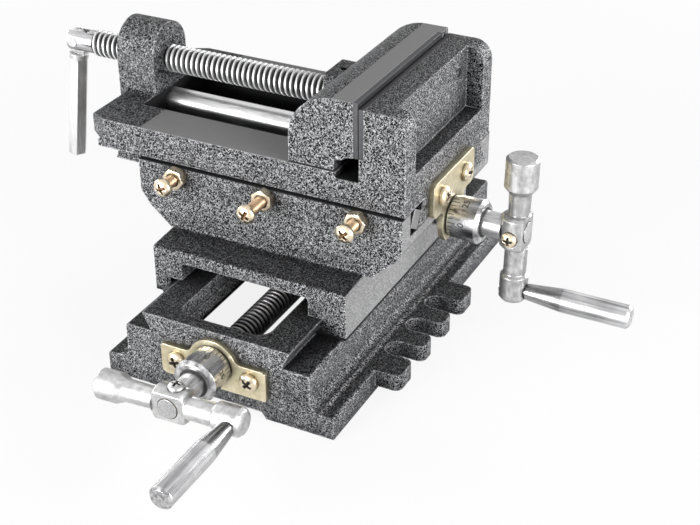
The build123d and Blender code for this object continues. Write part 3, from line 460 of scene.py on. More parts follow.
def flange_line(place, facing):
    """The foot of the valley between the base's walls and flanges, where a line of bright flecks is added."""
    x, y, z = place.parts()
    return (1.0 - (x.abs() - FLANGE_LINE_X).abs().spread(0.2, 1.7)) * z.between(11.5, 13.0)


def jaw_foot(place, facing):
    """The machined foot of the movable jaw, nearly black as the painted shade of the gap under it."""
    return 1.0 - place.parts()[2].above(109.2)


def ground_strip(place, facing):
    """The flat strip on top of the movable jaw, behind its plate."""
    x, y, z = place.parts()
    return z.above(144.9) * x.above(34.8)


paints = {
    "base": hammered("hammered_base", bright_line=flange_line),
    "saddle": hammered("hammered_saddle", saddle_ends, saddle_top),
    "vise_body": hammered("hammered_body", bed_rails, bed_slot),
    "movable_jaw": hammered("hammered_jaw", ground_strip, jaw_foot),
}
print("paints", {node: len(paint.node_tree.nodes) for node, paint in paints.items()})

# %% [markdown]
# ## Machined metals
#
# Bars are drawn or ground, and screws are turned on a lathe. The marks of both could be painted on an
# unwrapped mesh. A noise in the piece's own space needs no unwrapping: where it changes fast across the
# axis and slowly along it, it gives the streaks of bar, and the other way about it gives fine rings. Each
# metal is the same few lines with other numbers, so one function makes them: a streaky tone between two
# colours, edges rubbed brighter, and painted shade in the corners.

# %% Build a machined metal
METAL_ROUNDING = 0.0004
METAL_CORNERS = 0.005
# The near black that metal is darkened towards: painted shade in corners and thread roots, and a grip cone's
# mottle.
SHADE_AND_MOTTLE_TONE = (0.022, 0.021, 0.020)
BRIGHTEST = 0.9
UNEVENNESS = 0.10             # how much the roughness varies


def grey(value, blue=0.0):
    return (value, value, value + blue)


def metal(name, colour, second, roughness, streaks, depth=0.000012, clouds=0.05, contrast=0.20, metallic=1.0,
          shade_and_mottle=None):
    """Machined metal. streaks says how fast the marks change along each axis; the last mask darkens it more.
    """
    finish = Finish(name, Metallic=metallic)
    place = finish.place()
    marks = finish.noise(finish.stretched(place, streaks), 1.0, detail=3.0, rough=0.6)
    patches = finish.noise(place, clouds, detail=3.0)
    tone = (marks * 0.6 + patches * 0.4).spread(0.5 - contrast, 0.5 + contrast)
    rounded, worn = rounded_edges(finish, METAL_ROUNDING, 0.01, 0.15)
    rubbed = tuple(min(v * 1.25, BRIGHTEST) for v in second)
    undarkened = finish.mix(worn * 0.6, finish.mix(tone, colour, second), rubbed)
    # Painted shade: the metal is darkened towards a near black in corners that see little of the sky.
    darkening_mask = closed_in(finish, 4, METAL_CORNERS, 0.40, 0.85) * 0.75
    # The last mask is painted shade in a thread's roots, or the real mottle of a grip's cone.
    if shade_and_mottle is not None:
        darkening_mask = (darkening_mask + shade_and_mottle(finish, place)).smallest(1.0)
    uneven = (patches - 0.5) * UNEVENNESS + (marks - 0.5) * UNEVENNESS * 0.8
    finish.set(
        Base_Color=finish.mix(darkening_mask, undarkened, SHADE_AND_MOTTLE_TONE),
        Roughness=roughness + uneven,
        Normal=relief(finish, marks, depth, 1.0, rounded),
    )
    return finish.material


STEEL, STEEL_PALE = grey(0.30, 0.005), grey(0.72, 0.01)
steel_x = metal("turned_steel_x", STEEL, STEEL_PALE, 0.32, (0.12, 1.2, 1.2), contrast=0.16)
steel_y = metal("turned_steel_y", STEEL, STEEL_PALE, 0.32, (1.2, 0.12, 1.2), contrast=0.16)
rod_steel = metal("ground_rod", grey(0.56), grey(0.88, 0.01), 0.36, (0.10, 0.9, 0.9), contrast=0.14)
bar_steel = metal("drawn_bar", grey(0.46), grey(0.74), 0.36, (0.8, 0.8, 0.05), contrast=0.16)
dark_steel = metal("dark_steel", (0.045, 0.046, 0.050), (0.085, 0.085, 0.09), 0.45, (0.3, 2.0, 0.3))
gib_grey = metal("gib_bar", grey(0.24, 0.005), grey(0.40, 0.005), 0.45, (0.2, 2.0, 2.0))
bronze = metal("bronze", (0.48, 0.34, 0.16), (0.58, 0.43, 0.22), 0.34, (0.7, 0.7, 0.7))
print("steels", [m.name for m in (steel_x, steel_y, rod_steel, bar_steel, dark_steel, gib_grey)])

# %% [markdown]
# ## Shade in thread roots, mottle on grips
#
# A thread is painted bright on its crests and dark in its roots, as the shade that falls there. The roots
# could be found with Ambient Occlusion alone, but at this scale it is grainy. The distance from the screw's
# axis says the same exactly: it is the length of the vector from the axis, once its part along the axis is
# taken away. The cones of the grips were turned with a coarser feed than the straight bar, and look darker
# and mottled.

# %% Build the finishes of threads and grips
FRONT_AXIS = ((0.0, 0.0, 25.0), (0, 1, 0))
CROSS_AXIS = ((0.0, -3.0, 70.5), (1, 0, 0))
CLAMP_AXIS = ((0.0, -3.0, 123.3), (1, 0, 0))
ROOT = 5.45                   # up to this radius a thread's root is fully painted dark, as shade


def roots(middle, axis, undarkened):
    """A mask of the roots of a thread, painted dark as shade, which fades out at the given radius."""
    across = tuple(1.0 - v for v in axis)

    def mask(finish, place):
        arm = finish.add("ShaderNodeVectorMath", {"operation": "SUBTRACT"}, (place, middle))
        arm = finish.add("ShaderNodeVectorMath", {"operation": "MULTIPLY"}, (arm, across))
        reach = finish.add("ShaderNodeVectorMath", {"operation": "LENGTH"}, (arm,), output="Value")
        return 1.0 - reach.spread(ROOT, undarkened)
    return mask


def cone(along_x, along_y, start, end):
    """A mask of the mottled cone of a grip, from start to end along X or Y."""
    def mask(finish, place):
        x, y, z = place.parts()
        coarse = finish.noise(place, 1.6, detail=2.0)
        return (x * along_x + y * along_y).between(start, end) * (0.10 + coarse * 0.55)
    return mask


thread_front = metal("thread_front", STEEL, STEEL_PALE, 0.34, (0.4, 1.2, 0.4), shade_and_mottle=roots(*FRONT_AXIS, 5.9))
thread_cross = metal("thread_cross", STEEL, STEEL_PALE, 0.30, (1.2, 0.4, 0.4), shade_and_mottle=roots(*CROSS_AXIS, 6.75))
thread_clamp = metal("thread_clamp", grey(0.58), STEEL_PALE, 0.42, (1.2, 0.4, 0.4), metallic=0.6,
                     shade_and_mottle=roots(*CLAMP_AXIS, 5.62))
GRIP, GRIP_PALE = grey(0.22, 0.005), grey(0.74, 0.01)
grip_x = metal("turned_grip_x", GRIP, GRIP_PALE, 0.26, (0.02, 0.55, 0.55), 0.00001, contrast=0.13,
               shade_and_mottle=cone(1.0, 0.0, 115.0, 134.2))
grip_y = metal("turned_grip_y", GRIP, GRIP_PALE, 0.26, (0.55, 0.02, 0.55), 0.00001, contrast=0.13,
               shade_and_mottle=cone(0.0, -1.0, 149.0, 167.6))
print("threads and grips", [m.name for m in (thread_front, thread_cross, thread_clamp, grip_x, grip_y)])

# %% [markdown]
# ## Castings, zinc and aluminium
#
# The crank arms are cast and then turned, so they are rougher and more uneven than bar. Zinc plate with its
# yellow passivation is a pale gold with soft cloudy patches, and on a small screw the shank is redder than
# the head. The dials are turned aluminium, the brightest metal here, with broad streaks. The recesses of
# the screws and the paint in the dial lines are dark finishes of their own: the recess finishes paint the
# shadow and dirt in a recess, and the shadow at each crank's hub, and the ink of the dials also paints the
# shadow in the gap at each collar's bore.

# %% Build the other metals
cast_steel = metal("cast_steel", grey(0.34), grey(0.58), 0.42, (0.9, 0.9, 0.9), 0.00005, contrast=0.14)
cast_steel_x = metal("turned_casting_x", grey(0.36), grey(0.72), 0.38, (0.35, 0.6, 0.6), 0.00004, clouds=0.10)
cast_steel_z = metal("turned_casting_z", grey(0.26), grey(0.60), 0.38, (0.6, 0.6, 0.35), 0.00004, clouds=0.10)
zinc = metal("yellow_zinc", (0.60, 0.52, 0.32), (0.82, 0.76, 0.57), 0.34, (0.5, 0.5, 0.5), 0.00001,
             clouds=0.12)
zinc_screw = metal("yellow_zinc_screw", (0.72, 0.58, 0.38), (0.88, 0.80, 0.64), 0.28, (0.6, 0.6, 0.6),
                   0.00001, clouds=0.2)
shank_zinc = metal("zinc_shank", (0.46, 0.30, 0.17), (0.66, 0.48, 0.31), 0.36, (0.3, 0.3, 0.3), contrast=0.16)
ALUMINIUM, ALUMINIUM_PALE = grey(0.16, 0.005), grey(0.84, 0.01)
aluminium_x = metal("turned_aluminium_x", ALUMINIUM, ALUMINIUM_PALE, 0.26, (0.03, 0.26, 0.26), 0.00001,
                    clouds=0.10, contrast=0.13)
aluminium_y = metal("turned_aluminium_y", ALUMINIUM, ALUMINIUM_PALE, 0.26, (0.26, 0.03, 0.26), 0.00001,
                    clouds=0.10, contrast=0.13)
# Dark finishes for the screws' recesses: painted shadow and dirt. The second also paints the shadow round
# each crank's hub.
recess_brown = metal("recess_zinc", (0.20, 0.085, 0.02), (0.34, 0.17, 0.05), 0.5, (1.5, 1.5, 1.5),
                     metallic=0.4)
recess_dark = metal("recess_shadow", (0.04, 0.025, 0.015), (0.08, 0.05, 0.03), 0.55, (1.5, 1.5, 1.5),
                    metallic=0.2)
# The dark paint in the dial lines; it also paints the shadow in the gap at each collar's bore.
ink_and_gap_shadow = metal("dial_ink_and_gap_shadow", grey(0.015, 0.001), grey(0.03), 0.6, (1.0, 1.0, 1.0), metallic=0.0)
print("materials", len(bpy.data.materials))

# %% [markdown]
# ## Points, rings and faces
#
# The small turned parts are rings of points joined by faces, so they could be Blender's own cylinders with
# modifiers, but a screw needs its recess, its thread and its chamfers in exact places. A plain list of
# points and faces, in millimetres round a local Z axis, is easier to steer. Each face also carries a mark,
# the number of its finish on the piece.


# %% A shape to build small parts in
class Shape:
    """Points in millimetres, and faces with the number of their finish."""

    def __init__(self):
        self.points = []
        self.faces = []
        self.marks = []

    def ring(self, points):
        first = len(self.points)
        self.points += points
        return list(range(first, len(self.points)))

    def circle(self, radius, height, count=48):
        turns = [2 * math.pi / count * j for j in range(count)]
        return self.ring([(radius * math.cos(turn), radius * math.sin(turn), height) for turn in turns])

    def face(self, corners, mark=0):
        self.faces.append(tuple(corners))
        self.marks.append(mark)

    def join(self, one, two, mark=0):
        for j in range(len(one)):
            k = (j + 1) % len(one)
            self.face((one[j], one[k], two[k], two[j]), mark)

    def put(self, other, matrix):
        """Adds another shape, moved by a matrix."""
        first = len(self.points)
        self.points += [tuple(matrix @ Vector(point)) for point in other.points]
        self.faces += [tuple(first + i for i in face) for face in other.faces]
        self.marks += other.marks


print("a shape has", list(vars(Shape())))

# %% [markdown]
# ## Shapes along an axis
#
# Every small part is drawn once, upright on its own Z axis, and then laid along the axis of its screw. Euler
# angles could do that, but it is easy to get their order wrong. A frame says it plainly: where the part
# stands, which way it points, and what lies beside it.

# %% Place shapes along an axis
def along(origin, direction, beside):
    """A frame at origin: its Z is the direction, its X is beside it."""
    z = Vector(direction)
    x = Vector(beside)
    y = z.cross(x)
    return Matrix((
        (x.x, y.x, z.x, origin[0]),
        (x.y, y.y, z.y, origin[1]),
        (x.z, y.z, z.z, origin[2]),
        (0, 0, 0, 1),
    ))


def placed(*parts):
    """One shape from pairs of a shape and its frame."""
    whole = Shape()
    for shape, at in parts:
        whole.put(shape, at)
    return whole


print("front screw's frame", [tuple(round(v) for v in row) for row in along(*FRONT_AXIS, (1, 0, 0))])

# %% [markdown]
# ## One piece for each CAD node
#
# A CAD mesh is exact, but each of its facets is flat, so a turned grip shows stripes. The node itself must
# stay as it is. So every piece starts from a copy of the node's mesh, or from nothing where the whole part
# is redrawn. Its points are welded, and it is shaded smooth except over sharp edges. The copy still carries
# the normals that CAD stored with it, which would bend the light on the new faces, so they are removed, and
# a Weighted Normal modifier keeps the large flats flat. Then the piece takes the node's place, rides on the
# same body, and is told which finishes it wears.

# %% Copy, refine and place a piece
SHARP = math.radians(32)
SAME_POINT = 2e-6
node_slot = {}


def fill(edit, shape):
    """Adds a shape to a mesh that is being edited, in metres."""
    points = [edit.verts.new([0.001 * v for v in point]) for point in shape.points]
    for corners, mark in zip(shape.faces, shape.marks):
        face = edit.faces.new([points[i] for i in corners])
        face.material_index = mark


def make_piece(node, slot, finishes, shape=None, keep=lambda point: True, copied=True):
    """A detailed stand-in for one CAD node. keep says which points of the copy stay."""
    source = frame["nodes"][node]
    edit = bmesh.new()
    if copied:
        edit.from_mesh(source.data)
        bmesh.ops.remove_doubles(edit, verts=edit.verts, dist=SAME_POINT)
        gone = [vert for vert in edit.verts if not keep(vert.co * 1000)]
        bmesh.ops.delete(edit, geom=gone, context="VERTS")
        for face in edit.faces:
            face.material_index = 0
    if shape is not None:
        fill(edit, shape)
    bmesh.ops.remove_doubles(edit, verts=edit.verts, dist=SAME_POINT)
    mesh = bpy.data.meshes.new(node + "_detail")
    edit.to_mesh(mesh)
    edit.free()
    if "custom_normal" in mesh.attributes:
        mesh.attributes.remove(mesh.attributes["custom_normal"])
    for finish in finishes:
        mesh.materials.append(finish)
    mesh.shade_smooth()
    mesh.set_sharp_from_angle(angle=SHARP)
    piece = bpy.data.objects.new(node + "_detail", mesh)
    bpy.context.scene.collection.objects.link(piece)
    flats = piece.modifiers.new("large faces stay flat", "WEIGHTED_NORMAL")
    flats.keep_sharp = True
    flats.weight = 100
    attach(piece, source["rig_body"])
    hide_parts(node)
    node_slot[node] = slot


print("edges sharper than", round(math.degrees(SHARP)), "degrees stay sharp")

# %% [markdown]
# ## The castings
#
# Base, saddle, vise body and movable jaw are iron castings. Their CAD shapes are already right, with ribs,
# ways and rounds, so they only need smooth shading on the rounds and the paint that was built above. The
# gib bars are planed steel strips that lie in the dovetails, and only their ends are seen.

# %% Dress the four castings and the gib bars
for node, paint in paints.items():
    make_piece(node, "painted_casting", [paint])
make_piece("saddle_gib", "dark_steel", [dark_steel])
make_piece("vise_gib", "dark_steel", [gib_grey])
print("castings and gibs dressed", len(node_slot))

# %% [markdown]
# ## Screw threads
#
# The two lead screws and the clamp screw have trapezoidal threads, 14 mm across with 3 mm from turn to
# turn. Blender has a Screw modifier, but it leaves the ends ragged. Here the profile of one turn is a short
# list of points, and each point climbs by one pitch as it goes round. After the last column of points, the
# surface joins the first column one turn further on. Near each end the radius is held down, which cuts the
# chamfer that a real thread has.
#
# The front lead screw is left-handed, so that turning its crank clockwise moves the slide away.


# %% A helical thread
SCREW_RADIUS = 7.0
SCREW_DEPTH = 1.75
PITCH = 3.0


def thread_profile(major, depth):
    """One turn, as pairs of a share of the pitch and a radius, with small rounds at crest and root."""
    minor = major - depth
    crest_round, root_round = major - 0.04 * depth, minor + 0.08 * depth
    return [
        (0.02, crest_round), (0.08, major), (0.28, major), (0.34, crest_round),
        (0.50, root_round), (0.56, minor), (0.80, minor), (0.86, root_round),
    ]


def thread(start, end, major, depth, pitch, hand, ends, closed=(False, False), count=40, mark=1):
    """Thread surface along Z. ends are the radii where it starts and stops, closed says which is capped."""
    profile = thread_profile(major, depth)
    shape = Shape()
    turns = math.ceil((end - start) / pitch)
    levels = [(turn + phase, radius) for turn in range(-1, turns + 1) for phase, radius in profile]
    rows = []
    for level, radius in levels:
        row = []
        for j in range(count):
            height = min(max(start + pitch * (level + j / count), start), end)
            held = min(radius, ends[0] + height - start, ends[1] + end - height)
            turn = hand * 2 * math.pi * j / count
            row.append((held * math.cos(turn), held * math.sin(turn), height))
        rows.append(shape.ring(row))
    for i in range(len(rows) - len(profile) - 1):
        for j in range(count):
            step = len(profile) if j + 1 == count else 0
            k = (j + 1) % count
            corners = [rows[i][j], rows[i + step][k], rows[i + 1 + step][k], rows[i + 1][j]]
            heights = {shape.points[c][2] for c in corners}
            if heights != {start} and heights != {end}:
                shape.face(corners if hand > 0 else reversed(corners), mark)
    for wanted, radius, height in zip(closed, ends, (start, end)):
        if wanted:
            shape.face(shape.circle(radius, height), mark)
    return shape


print("profile of one turn", [(share, round(r, 2)) for share, r in thread_profile(SCREW_RADIUS, SCREW_DEPTH)])

# %% [markdown]
# ## The three long screws
#
# Each screw's CAD copy is a plain cylinder where the thread goes, and has journals, a fork or a flat
# elsewhere. The copy keeps only the points that lie inside the thread's radius, and the thread is laid in
# their place.

# %% Cut the threads of the three screws
PLAIN_RADIUS = 6.9            # the copy keeps what is thinner than this


def near_axis(middle, axis, radius):
    """Keeps the points of a copy that are nearer to an axis than radius."""
    start = Vector(middle)
    way = Vector(axis)

    def keep(point):
        arm = point - start
        return (arm - way * arm.dot(way)).length < radius
    return keep


def long_screw(node, finishes, axis, beside, start, end, hand, ends, closed):
    cut = thread(start, end, SCREW_RADIUS, SCREW_DEPTH, PITCH, hand, ends, closed)
    shape = placed((cut, along(*axis, beside)))
    make_piece(node, "turned_steel", finishes, shape, near_axis(*axis, PLAIN_RADIUS))
    print(node, "thread faces", len(cut.faces))


ALONG_X, ALONG_Y = (1, 0, 0), (0, 1, 0)
long_screw("base_lead_screw", [steel_y, thread_front], FRONT_AXIS, ALONG_X,
           -99.2, 77.5, -1, (6.25, 5.5), (True, False))
long_screw("cross_lead_screw", [steel_x, thread_cross], CROSS_AXIS, ALONG_Y,
           -80.0, 71.7, 1, (5.5, 6.25), (False, True))
long_screw("clamp_screw", [steel_x, thread_clamp], CLAMP_AXIS, ALONG_Y,
           -129.5, 9.4, 1, (6.0, 5.5), (True, True))

# %% [markdown]
# ## Screw heads
#
# All small screws have pan heads with a cross recess. A recess could be cut with a boolean, but that leaves
# long thin faces. Here the dome is a round grid whose points sink where they lie inside a cross, and the
# faces that sink far wear the second finish, which paints the shadow and dirt of a real recess.

# %% A pan head with a cross recess
RIM = 0.30                    # the straight rim, as a share of the head's height
DOME_CUT = 0.97               # how much of a half ellipse the dome is
ARM_REACH, ARM_HALF = 0.30, 0.085   # the cross, as shares of the head's width
RECESS_DEPTH, RECESS_TAPER = 0.62, 0.55
WALL_WIDTH = 0.25             # millimetres over which the recess goes down
RIM_BEVEL = 0.15


def pan_head(width, height):
    """A domed head that stands on the seat at height 0."""
    shape = Shape()
    radius = width / 2
    reach = ARM_REACH * width
    half = ARM_HALF * width
    count = 64
    turn = 2 * math.pi / count

    def dome(r):
        return height * (RIM + (1 - RIM) * math.sqrt(1 - DOME_CUT * (r / radius) ** 2))

    def sunk(x, y):
        outside = min(max(abs(x) - half, abs(y) - reach), max(abs(y) - half, abs(x) - reach))
        taper = 1 - RECESS_TAPER * math.hypot(x, y) / reach
        return RECESS_DEPTH * height * taper * min(max(-outside / WALL_WIDTH, 0.0), 1.0)

    rings = [shape.circle(radius - RIM_BEVEL, 0, count), shape.circle(radius, RIM_BEVEL, count)]
    for step in [1.0, 0.96, 0.9, 0.8, 0.7] + [0.62 - 0.04 * k for k in range(15)]:
        r = step * radius
        flat = [(r * math.cos(turn * j), r * math.sin(turn * j)) for j in range(count)]
        rings.append(shape.ring([(x, y, dome(r) - sunk(x, y)) for x, y in flat]))
    for one, two in zip(rings, rings[1:]):
        for j in range(count):
            k = (j + 1) % count
            corners = (one[j], one[k], two[k], two[j])
            x = sum(shape.points[c][0] for c in corners) / 4
            y = sum(shape.points[c][1] for c in corners) / 4
            shape.face(corners, 1 if sunk(x, y) > 0.12 * height else 0)
    shape.face(reversed(rings[0]))
    shape.face(rings[-1], 1)
    return shape


print("pan head faces", len(pan_head(9.4, 3.6).faces))

# %% [markdown]
# ## Lock nuts
#
# A nut is a hexagon with both faces turned to a shallow cone. A bevel on a hexagon would be straight, but
# the real chamfer is curved on each flat. Here a point is lowered by how far it lies outside the circle of
# the cone, and the curve comes by itself.

# %% A hexagon nut
NUT_LOW, NUT_HIGH = 0.05, 5.0
NUT_WIDTH = 10.0
NUT_BORE = 3.05
CONE_START = 0.475            # the chamfer's circle, as a share of the width over the flats
CONE_SLOPE = 0.58
BORE_BEVEL = 0.5


def hexagon_nut():
    """A nut with chamfered corners on both faces."""
    shape = Shape()
    count = 72
    turn = 2 * math.pi / count
    sixth = math.pi / 3
    inner = CONE_START * NUT_WIDTH

    def flats(height, side):
        row = []
        for j in range(count):
            r = NUT_WIDTH / 2 / math.cos((turn * j + sixth / 2) % sixth - sixth / 2)
            drop = side * CONE_SLOPE * (r - inner)
            row.append((r * math.cos(turn * j), r * math.sin(turn * j), height - drop))
        return shape.ring(row)

    rings = [
        shape.circle(NUT_BORE, NUT_LOW, count),
        shape.circle(inner, NUT_LOW, count),
        flats(NUT_LOW, -1),
        flats(NUT_HIGH, 1),
        shape.circle(inner, NUT_HIGH, count),
        shape.circle(NUT_BORE + BORE_BEVEL, NUT_HIGH, count),
        shape.circle(NUT_BORE, NUT_HIGH - BORE_BEVEL, count),
        shape.circle(NUT_BORE, NUT_LOW, count),
    ]
    for one, two in zip(rings, rings[1:]):
        shape.join(one, two)
    return shape


print("nut faces", len(hexagon_nut().faces))

# %% [markdown]
# ## Gib screws with their lock nuts
#
# Three screws on the near side press the gib bar of the upper slide, and three on the left press that of
# the lower one. Each stands out by its own amount, as it was set by hand, and a nut locks it against the
# wall. Their CAD solids have plain shanks, so screws and nuts are redrawn whole. The depth of a tip is read
# from the CAD box of the screws, so that it meets its dimple in the bar.

# %% Place gib screws and nuts
GIB_HEAD = (9.4, 3.6)
GIB_RADIUS, GIB_THREAD_DEPTH, GIB_PITCH = 3.0, 0.30, 1.0
GIB_ENDS = (2.5, 2.95)


def gib_screw(tip, head):
    """Shank with a fine thread from the tip to the head, whose top is at the height head."""
    under_head = head - GIB_HEAD[1]
    shank = thread(tip, under_head, GIB_RADIUS, GIB_THREAD_DEPTH, GIB_PITCH, 1, GIB_ENDS, count=28, mark=2)
    shank.face(reversed(shank.circle(GIB_ENDS[0], tip)))
    return placed((shank, Matrix()), (pan_head(*GIB_HEAD), Matrix.Translation((0, 0, under_head))))


def gib_row(gib, places):
    """A row of gib screws and its nuts, from each one's frame, tip and stand-out."""
    screws = placed(*((gib_screw(tip, stand), at) for at, tip, stand in places))
    nuts = placed(*((hexagon_nut(), at) for at, tip, stand in places))
    finishes = [zinc_screw, recess_brown, shank_zinc]
    make_piece(gib + "_screws", "zinc_plated_steel", finishes, screws, copied=False)
    make_piece(gib + "_nuts", "zinc_plated_steel", [zinc_screw], nuts, copied=False)


UPPER_WALL, LOWER_WALL = -55.0, -53.5
upper_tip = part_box("vise_gib_screws")[1].y * 1000
upper = []
for x, stand, spin in ((-49.3, 16.0, 0.35), (0.0, 20.9, 1.1), (49.3, 16.5, 0.7)):
    at = along((x, UPPER_WALL, 87.3), (0, -1, 0), (math.cos(spin), 0, math.sin(spin)))
    upper.append((at, UPPER_WALL - upper_tip, stand))
gib_row("vise_gib", upper)

lower_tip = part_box("saddle_gib_screws")[1].x * 1000
lower = []
for y, spin in ((-48.0, 0.6), (-3.0, 0.2), (42.0, 1.3)):
    at = along((LOWER_WALL, y, 36.6), (-1, 0, 0), (0, math.cos(spin), math.sin(spin)))
    lower.append((at, LOWER_WALL - lower_tip, 16.0))
gib_row("saddle_gib", lower)
print("gib screws reach", round(upper_tip, 2), round(lower_tip, 2))

# %% [markdown]
# ## Bracket plates and their screws
#
# Each lead screw runs through a plated bracket, held by two screws. Only their heads and a little of the
# shank are ever seen, so the shank is a plain turned body inside the casting.

# %% Place the brackets and their screws
SHANK_RADIUS, SHANK_BEVEL = 2.45, 0.4
BRACKET_HEAD = (9.6, 3.3)
FRONT_PLATE, CROSS_PLATE = -109.5, 75.0   # the outer faces of the two brackets


def turned(profile):
    """A closed round body from pairs of height and radius."""
    shape = Shape()
    rings = [shape.circle(radius, height) for height, radius in profile]
    for one, two in zip(rings, rings[1:]):
        shape.join(one, two)
    shape.face(reversed(rings[0]))
    shape.face(rings[-1])
    return shape


def short_screw(inside, head):
    """A turned shank that goes inside, under a pan head."""
    tip_radius = SHANK_RADIUS - 0.35
    shank = turned([(-inside, tip_radius), (-inside + SHANK_BEVEL, SHANK_RADIUS), (0, SHANK_RADIUS)])
    return placed((shank, Matrix()), (pan_head(*head), Matrix()))


front_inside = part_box("base_bracket_screws")[1].y * 1000 - FRONT_PLATE
front_heads = placed(*(
    (short_screw(front_inside, BRACKET_HEAD),
     along((x, FRONT_PLATE, 21.4), (0, -1, 0), (math.cos(spin), 0, math.sin(spin))))
    for x, spin in ((-19.8, 0.35), (19.8, 0.9))
))
cross_inside = CROSS_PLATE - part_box("cross_bracket_screws")[0].x * 1000
cross_heads = placed(*(
    (short_screw(cross_inside, BRACKET_HEAD),
     along((CROSS_PLATE, y, 88.0), (1, 0, 0), (0, math.cos(spin), math.sin(spin))))
    for y, spin in ((-16.7, 0.5), (10.7, 1.2))
))
for node, heads in (("base_bracket_screws", front_heads), ("cross_bracket_screws", cross_heads)):
    make_piece(node, "zinc_plated_steel", [zinc_screw, recess_dark], heads, copied=False)
for node in ("base_bracket", "cross_bracket"):
    make_piece(node, "zinc_plated_steel", [zinc])
print("bracket screws go in", round(front_inside, 2), round(cross_inside, 2))

# %% [markdown]
# ## The set screws of the cranks
#
# A set screw in each hub presses on the end of the lead screw. The front one looks up, turned with its
# crank by two degrees. The other looks to the front, and its seat is read from the CAD box. One is bright
# steel and the other plated.

# %% Place the set screws
SET_HEAD = (7.8, 3.2)
FRONT_TURN = math.radians(2.0)
BESIDE, ABOVE = 1.9, 7.7      # from the front screw's axis to the seat, before the crank's turn
SEAT_BELOW = 2.58             # from the cross set screw's top to its seat

sideways = Vector((math.cos(FRONT_TURN), 0, math.sin(FRONT_TURN)))
upright = Vector((-math.sin(FRONT_TURN), 0, math.cos(FRONT_TURN)))
front_seat = Vector((0, -141.8, 25)) + BESIDE * sideways + ABOVE * upright
front_set = placed((short_screw(2.5, SET_HEAD), along(front_seat, upright, sideways)))
make_piece("base_crank_screw", "turned_steel", [cast_steel, recess_dark], front_set, copied=False)

low_corner, high_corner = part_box("cross_crank_screw")
middle = (low_corner + high_corner) * 500
cross_seat = (middle.x, high_corner.y * 1000 - SEAT_BELOW, middle.z)
cross_set = placed((short_screw(2.4, SET_HEAD), along(cross_seat, (0, -1, 0), (1, 0, 0))))
make_piece("cross_crank_screw", "zinc_plated_steel", [zinc_screw, recess_dark], cross_set, copied=False)
print("set screws at", [round(v, 1) for v in front_seat], [round(v, 1) for v in cross_seat])

# %% [markdown]
# ## Dials
#
# Behind each crank sits an aluminium collar with thirty lines, one for each tenth of a millimetre that the
# slide moves, and a plain number at every fifth. Lines and digits are cut in the real dial and filled with
# paint. At this size a thin dark face just above the metal looks the same, needs no texture, and stays
# sharp at any distance. The digits are a text curve turned into a mesh, then wound round the collar point
# by point.

# %% Wind marks round a collar
DIAL_LINES = 30
DIAL_REAR, DIAL_FRONT = (3.6, 10.3), (18.0, 11.2)   # height and radius at the collar's two rims
ABOVE_METAL = 0.06


def wound(angle, height, beside, rise):
    """A point just above the collar: beside runs round it, rise runs towards the rear edge."""
    h = height - rise
    widening = (DIAL_FRONT[1] - DIAL_REAR[1]) / (DIAL_FRONT[0] - DIAL_REAR[0])
    r = DIAL_REAR[1] + (h - DIAL_REAR[0]) * widening + ABOVE_METAL
    turn = angle - beside / r
    return (r * math.cos(turn), r * math.sin(turn), h)


def digit_faces(text, size):
    """Points and faces of a number, flat, from a text curve that is removed again."""
    curve = bpy.data.curves.new("digits", "FONT")
    curve.body = text
    curve.size = size
    curve.align_x = "CENTER"
    holder = bpy.data.objects.new("digits", curve)
    mesh = bpy.data.meshes.new_from_object(holder)
    points = [tuple(vert.co) for vert in mesh.vertices]
    faces = [tuple(polygon.vertices) for polygon in mesh.polygons]
    bpy.data.meshes.remove(mesh)
    bpy.data.objects.remove(holder)
    bpy.data.curves.remove(curve)
    return points, faces


print("a digit has", len(digit_faces("5", 4.6)[1]), "faces")

# %% [markdown]
# ## Lines and numbers on the dials
#
# Every fifth line is longer and has its number. The front dial has its zero near the top and the other has
# it on the near side, as the vise was left. Between each collar and its shaft there is a gap in shade, which
# a flat ring of dark faces paints as a shadow.

# %% Mark the dials
SHORT_LINE, LONG_LINE = 2.9, 4.2
LINE_HALF = 0.17
LINE_FROM = 3.9               # the rear end of every line
DIGIT_SIZE, DIGIT_FOOT = 4.6, 12.6


def dial_marks(zero_at):
    shape = Shape()
    for line in range(DIAL_LINES):
        angle = zero_at + 2 * math.pi * line / DIAL_LINES
        long = line % 5 == 0
        length = LONG_LINE if long else SHORT_LINE
        foot = LINE_FROM + length
        rows = []
        for rise in (length * k / 3 for k in range(4)):
            ends = [wound(angle, foot, side, rise) for side in (-LINE_HALF, LINE_HALF)]
            rows.append(shape.ring(ends))
        for one, two in zip(rows, rows[1:]):
            shape.face((one[0], one[1], two[1], two[0]), 1)
        if long:
            points, faces = digit_faces(str(line), DIGIT_SIZE)
            first = len(shape.points)
            shape.points += [wound(angle, DIGIT_FOOT, x, y) for x, y, _ in points]
            for face in faces:
                shape.face([first + i for i in face], 1)
    return shape


def flat_ring(inner, outer, height):
    """A flat ring of faces in the second finish."""
    shape = Shape()
    shape.join(shape.circle(inner, height), shape.circle(outer, height), 1)
    return shape


FRONT_HUB = along((0, -106.5, 25), (0, -1, 0), (1, 0, 0))
CROSS_HUB = along((72.0, -3, 70.5), (1, 0, 0), (0, 1, 0))
# The ring below is a painted shadow in the gap between the collar's bore and the shaft.
gap_shadow = flat_ring(6.3, 7.6, 19.63)   # the dark gap between the collar's bore and the shaft
front_marks = placed((dial_marks(math.radians(75)), FRONT_HUB), (gap_shadow, FRONT_HUB))
cross_marks = placed((dial_marks(math.radians(172)), CROSS_HUB), (gap_shadow, CROSS_HUB))
make_piece("base_dial", "dial_aluminium", [aluminium_y, ink_and_gap_shadow], front_marks)
make_piece("cross_dial", "dial_aluminium", [aluminium_x, ink_and_gap_shadow], cross_marks)
print("dial faces", len(front_marks.faces), len(cross_marks.faces))

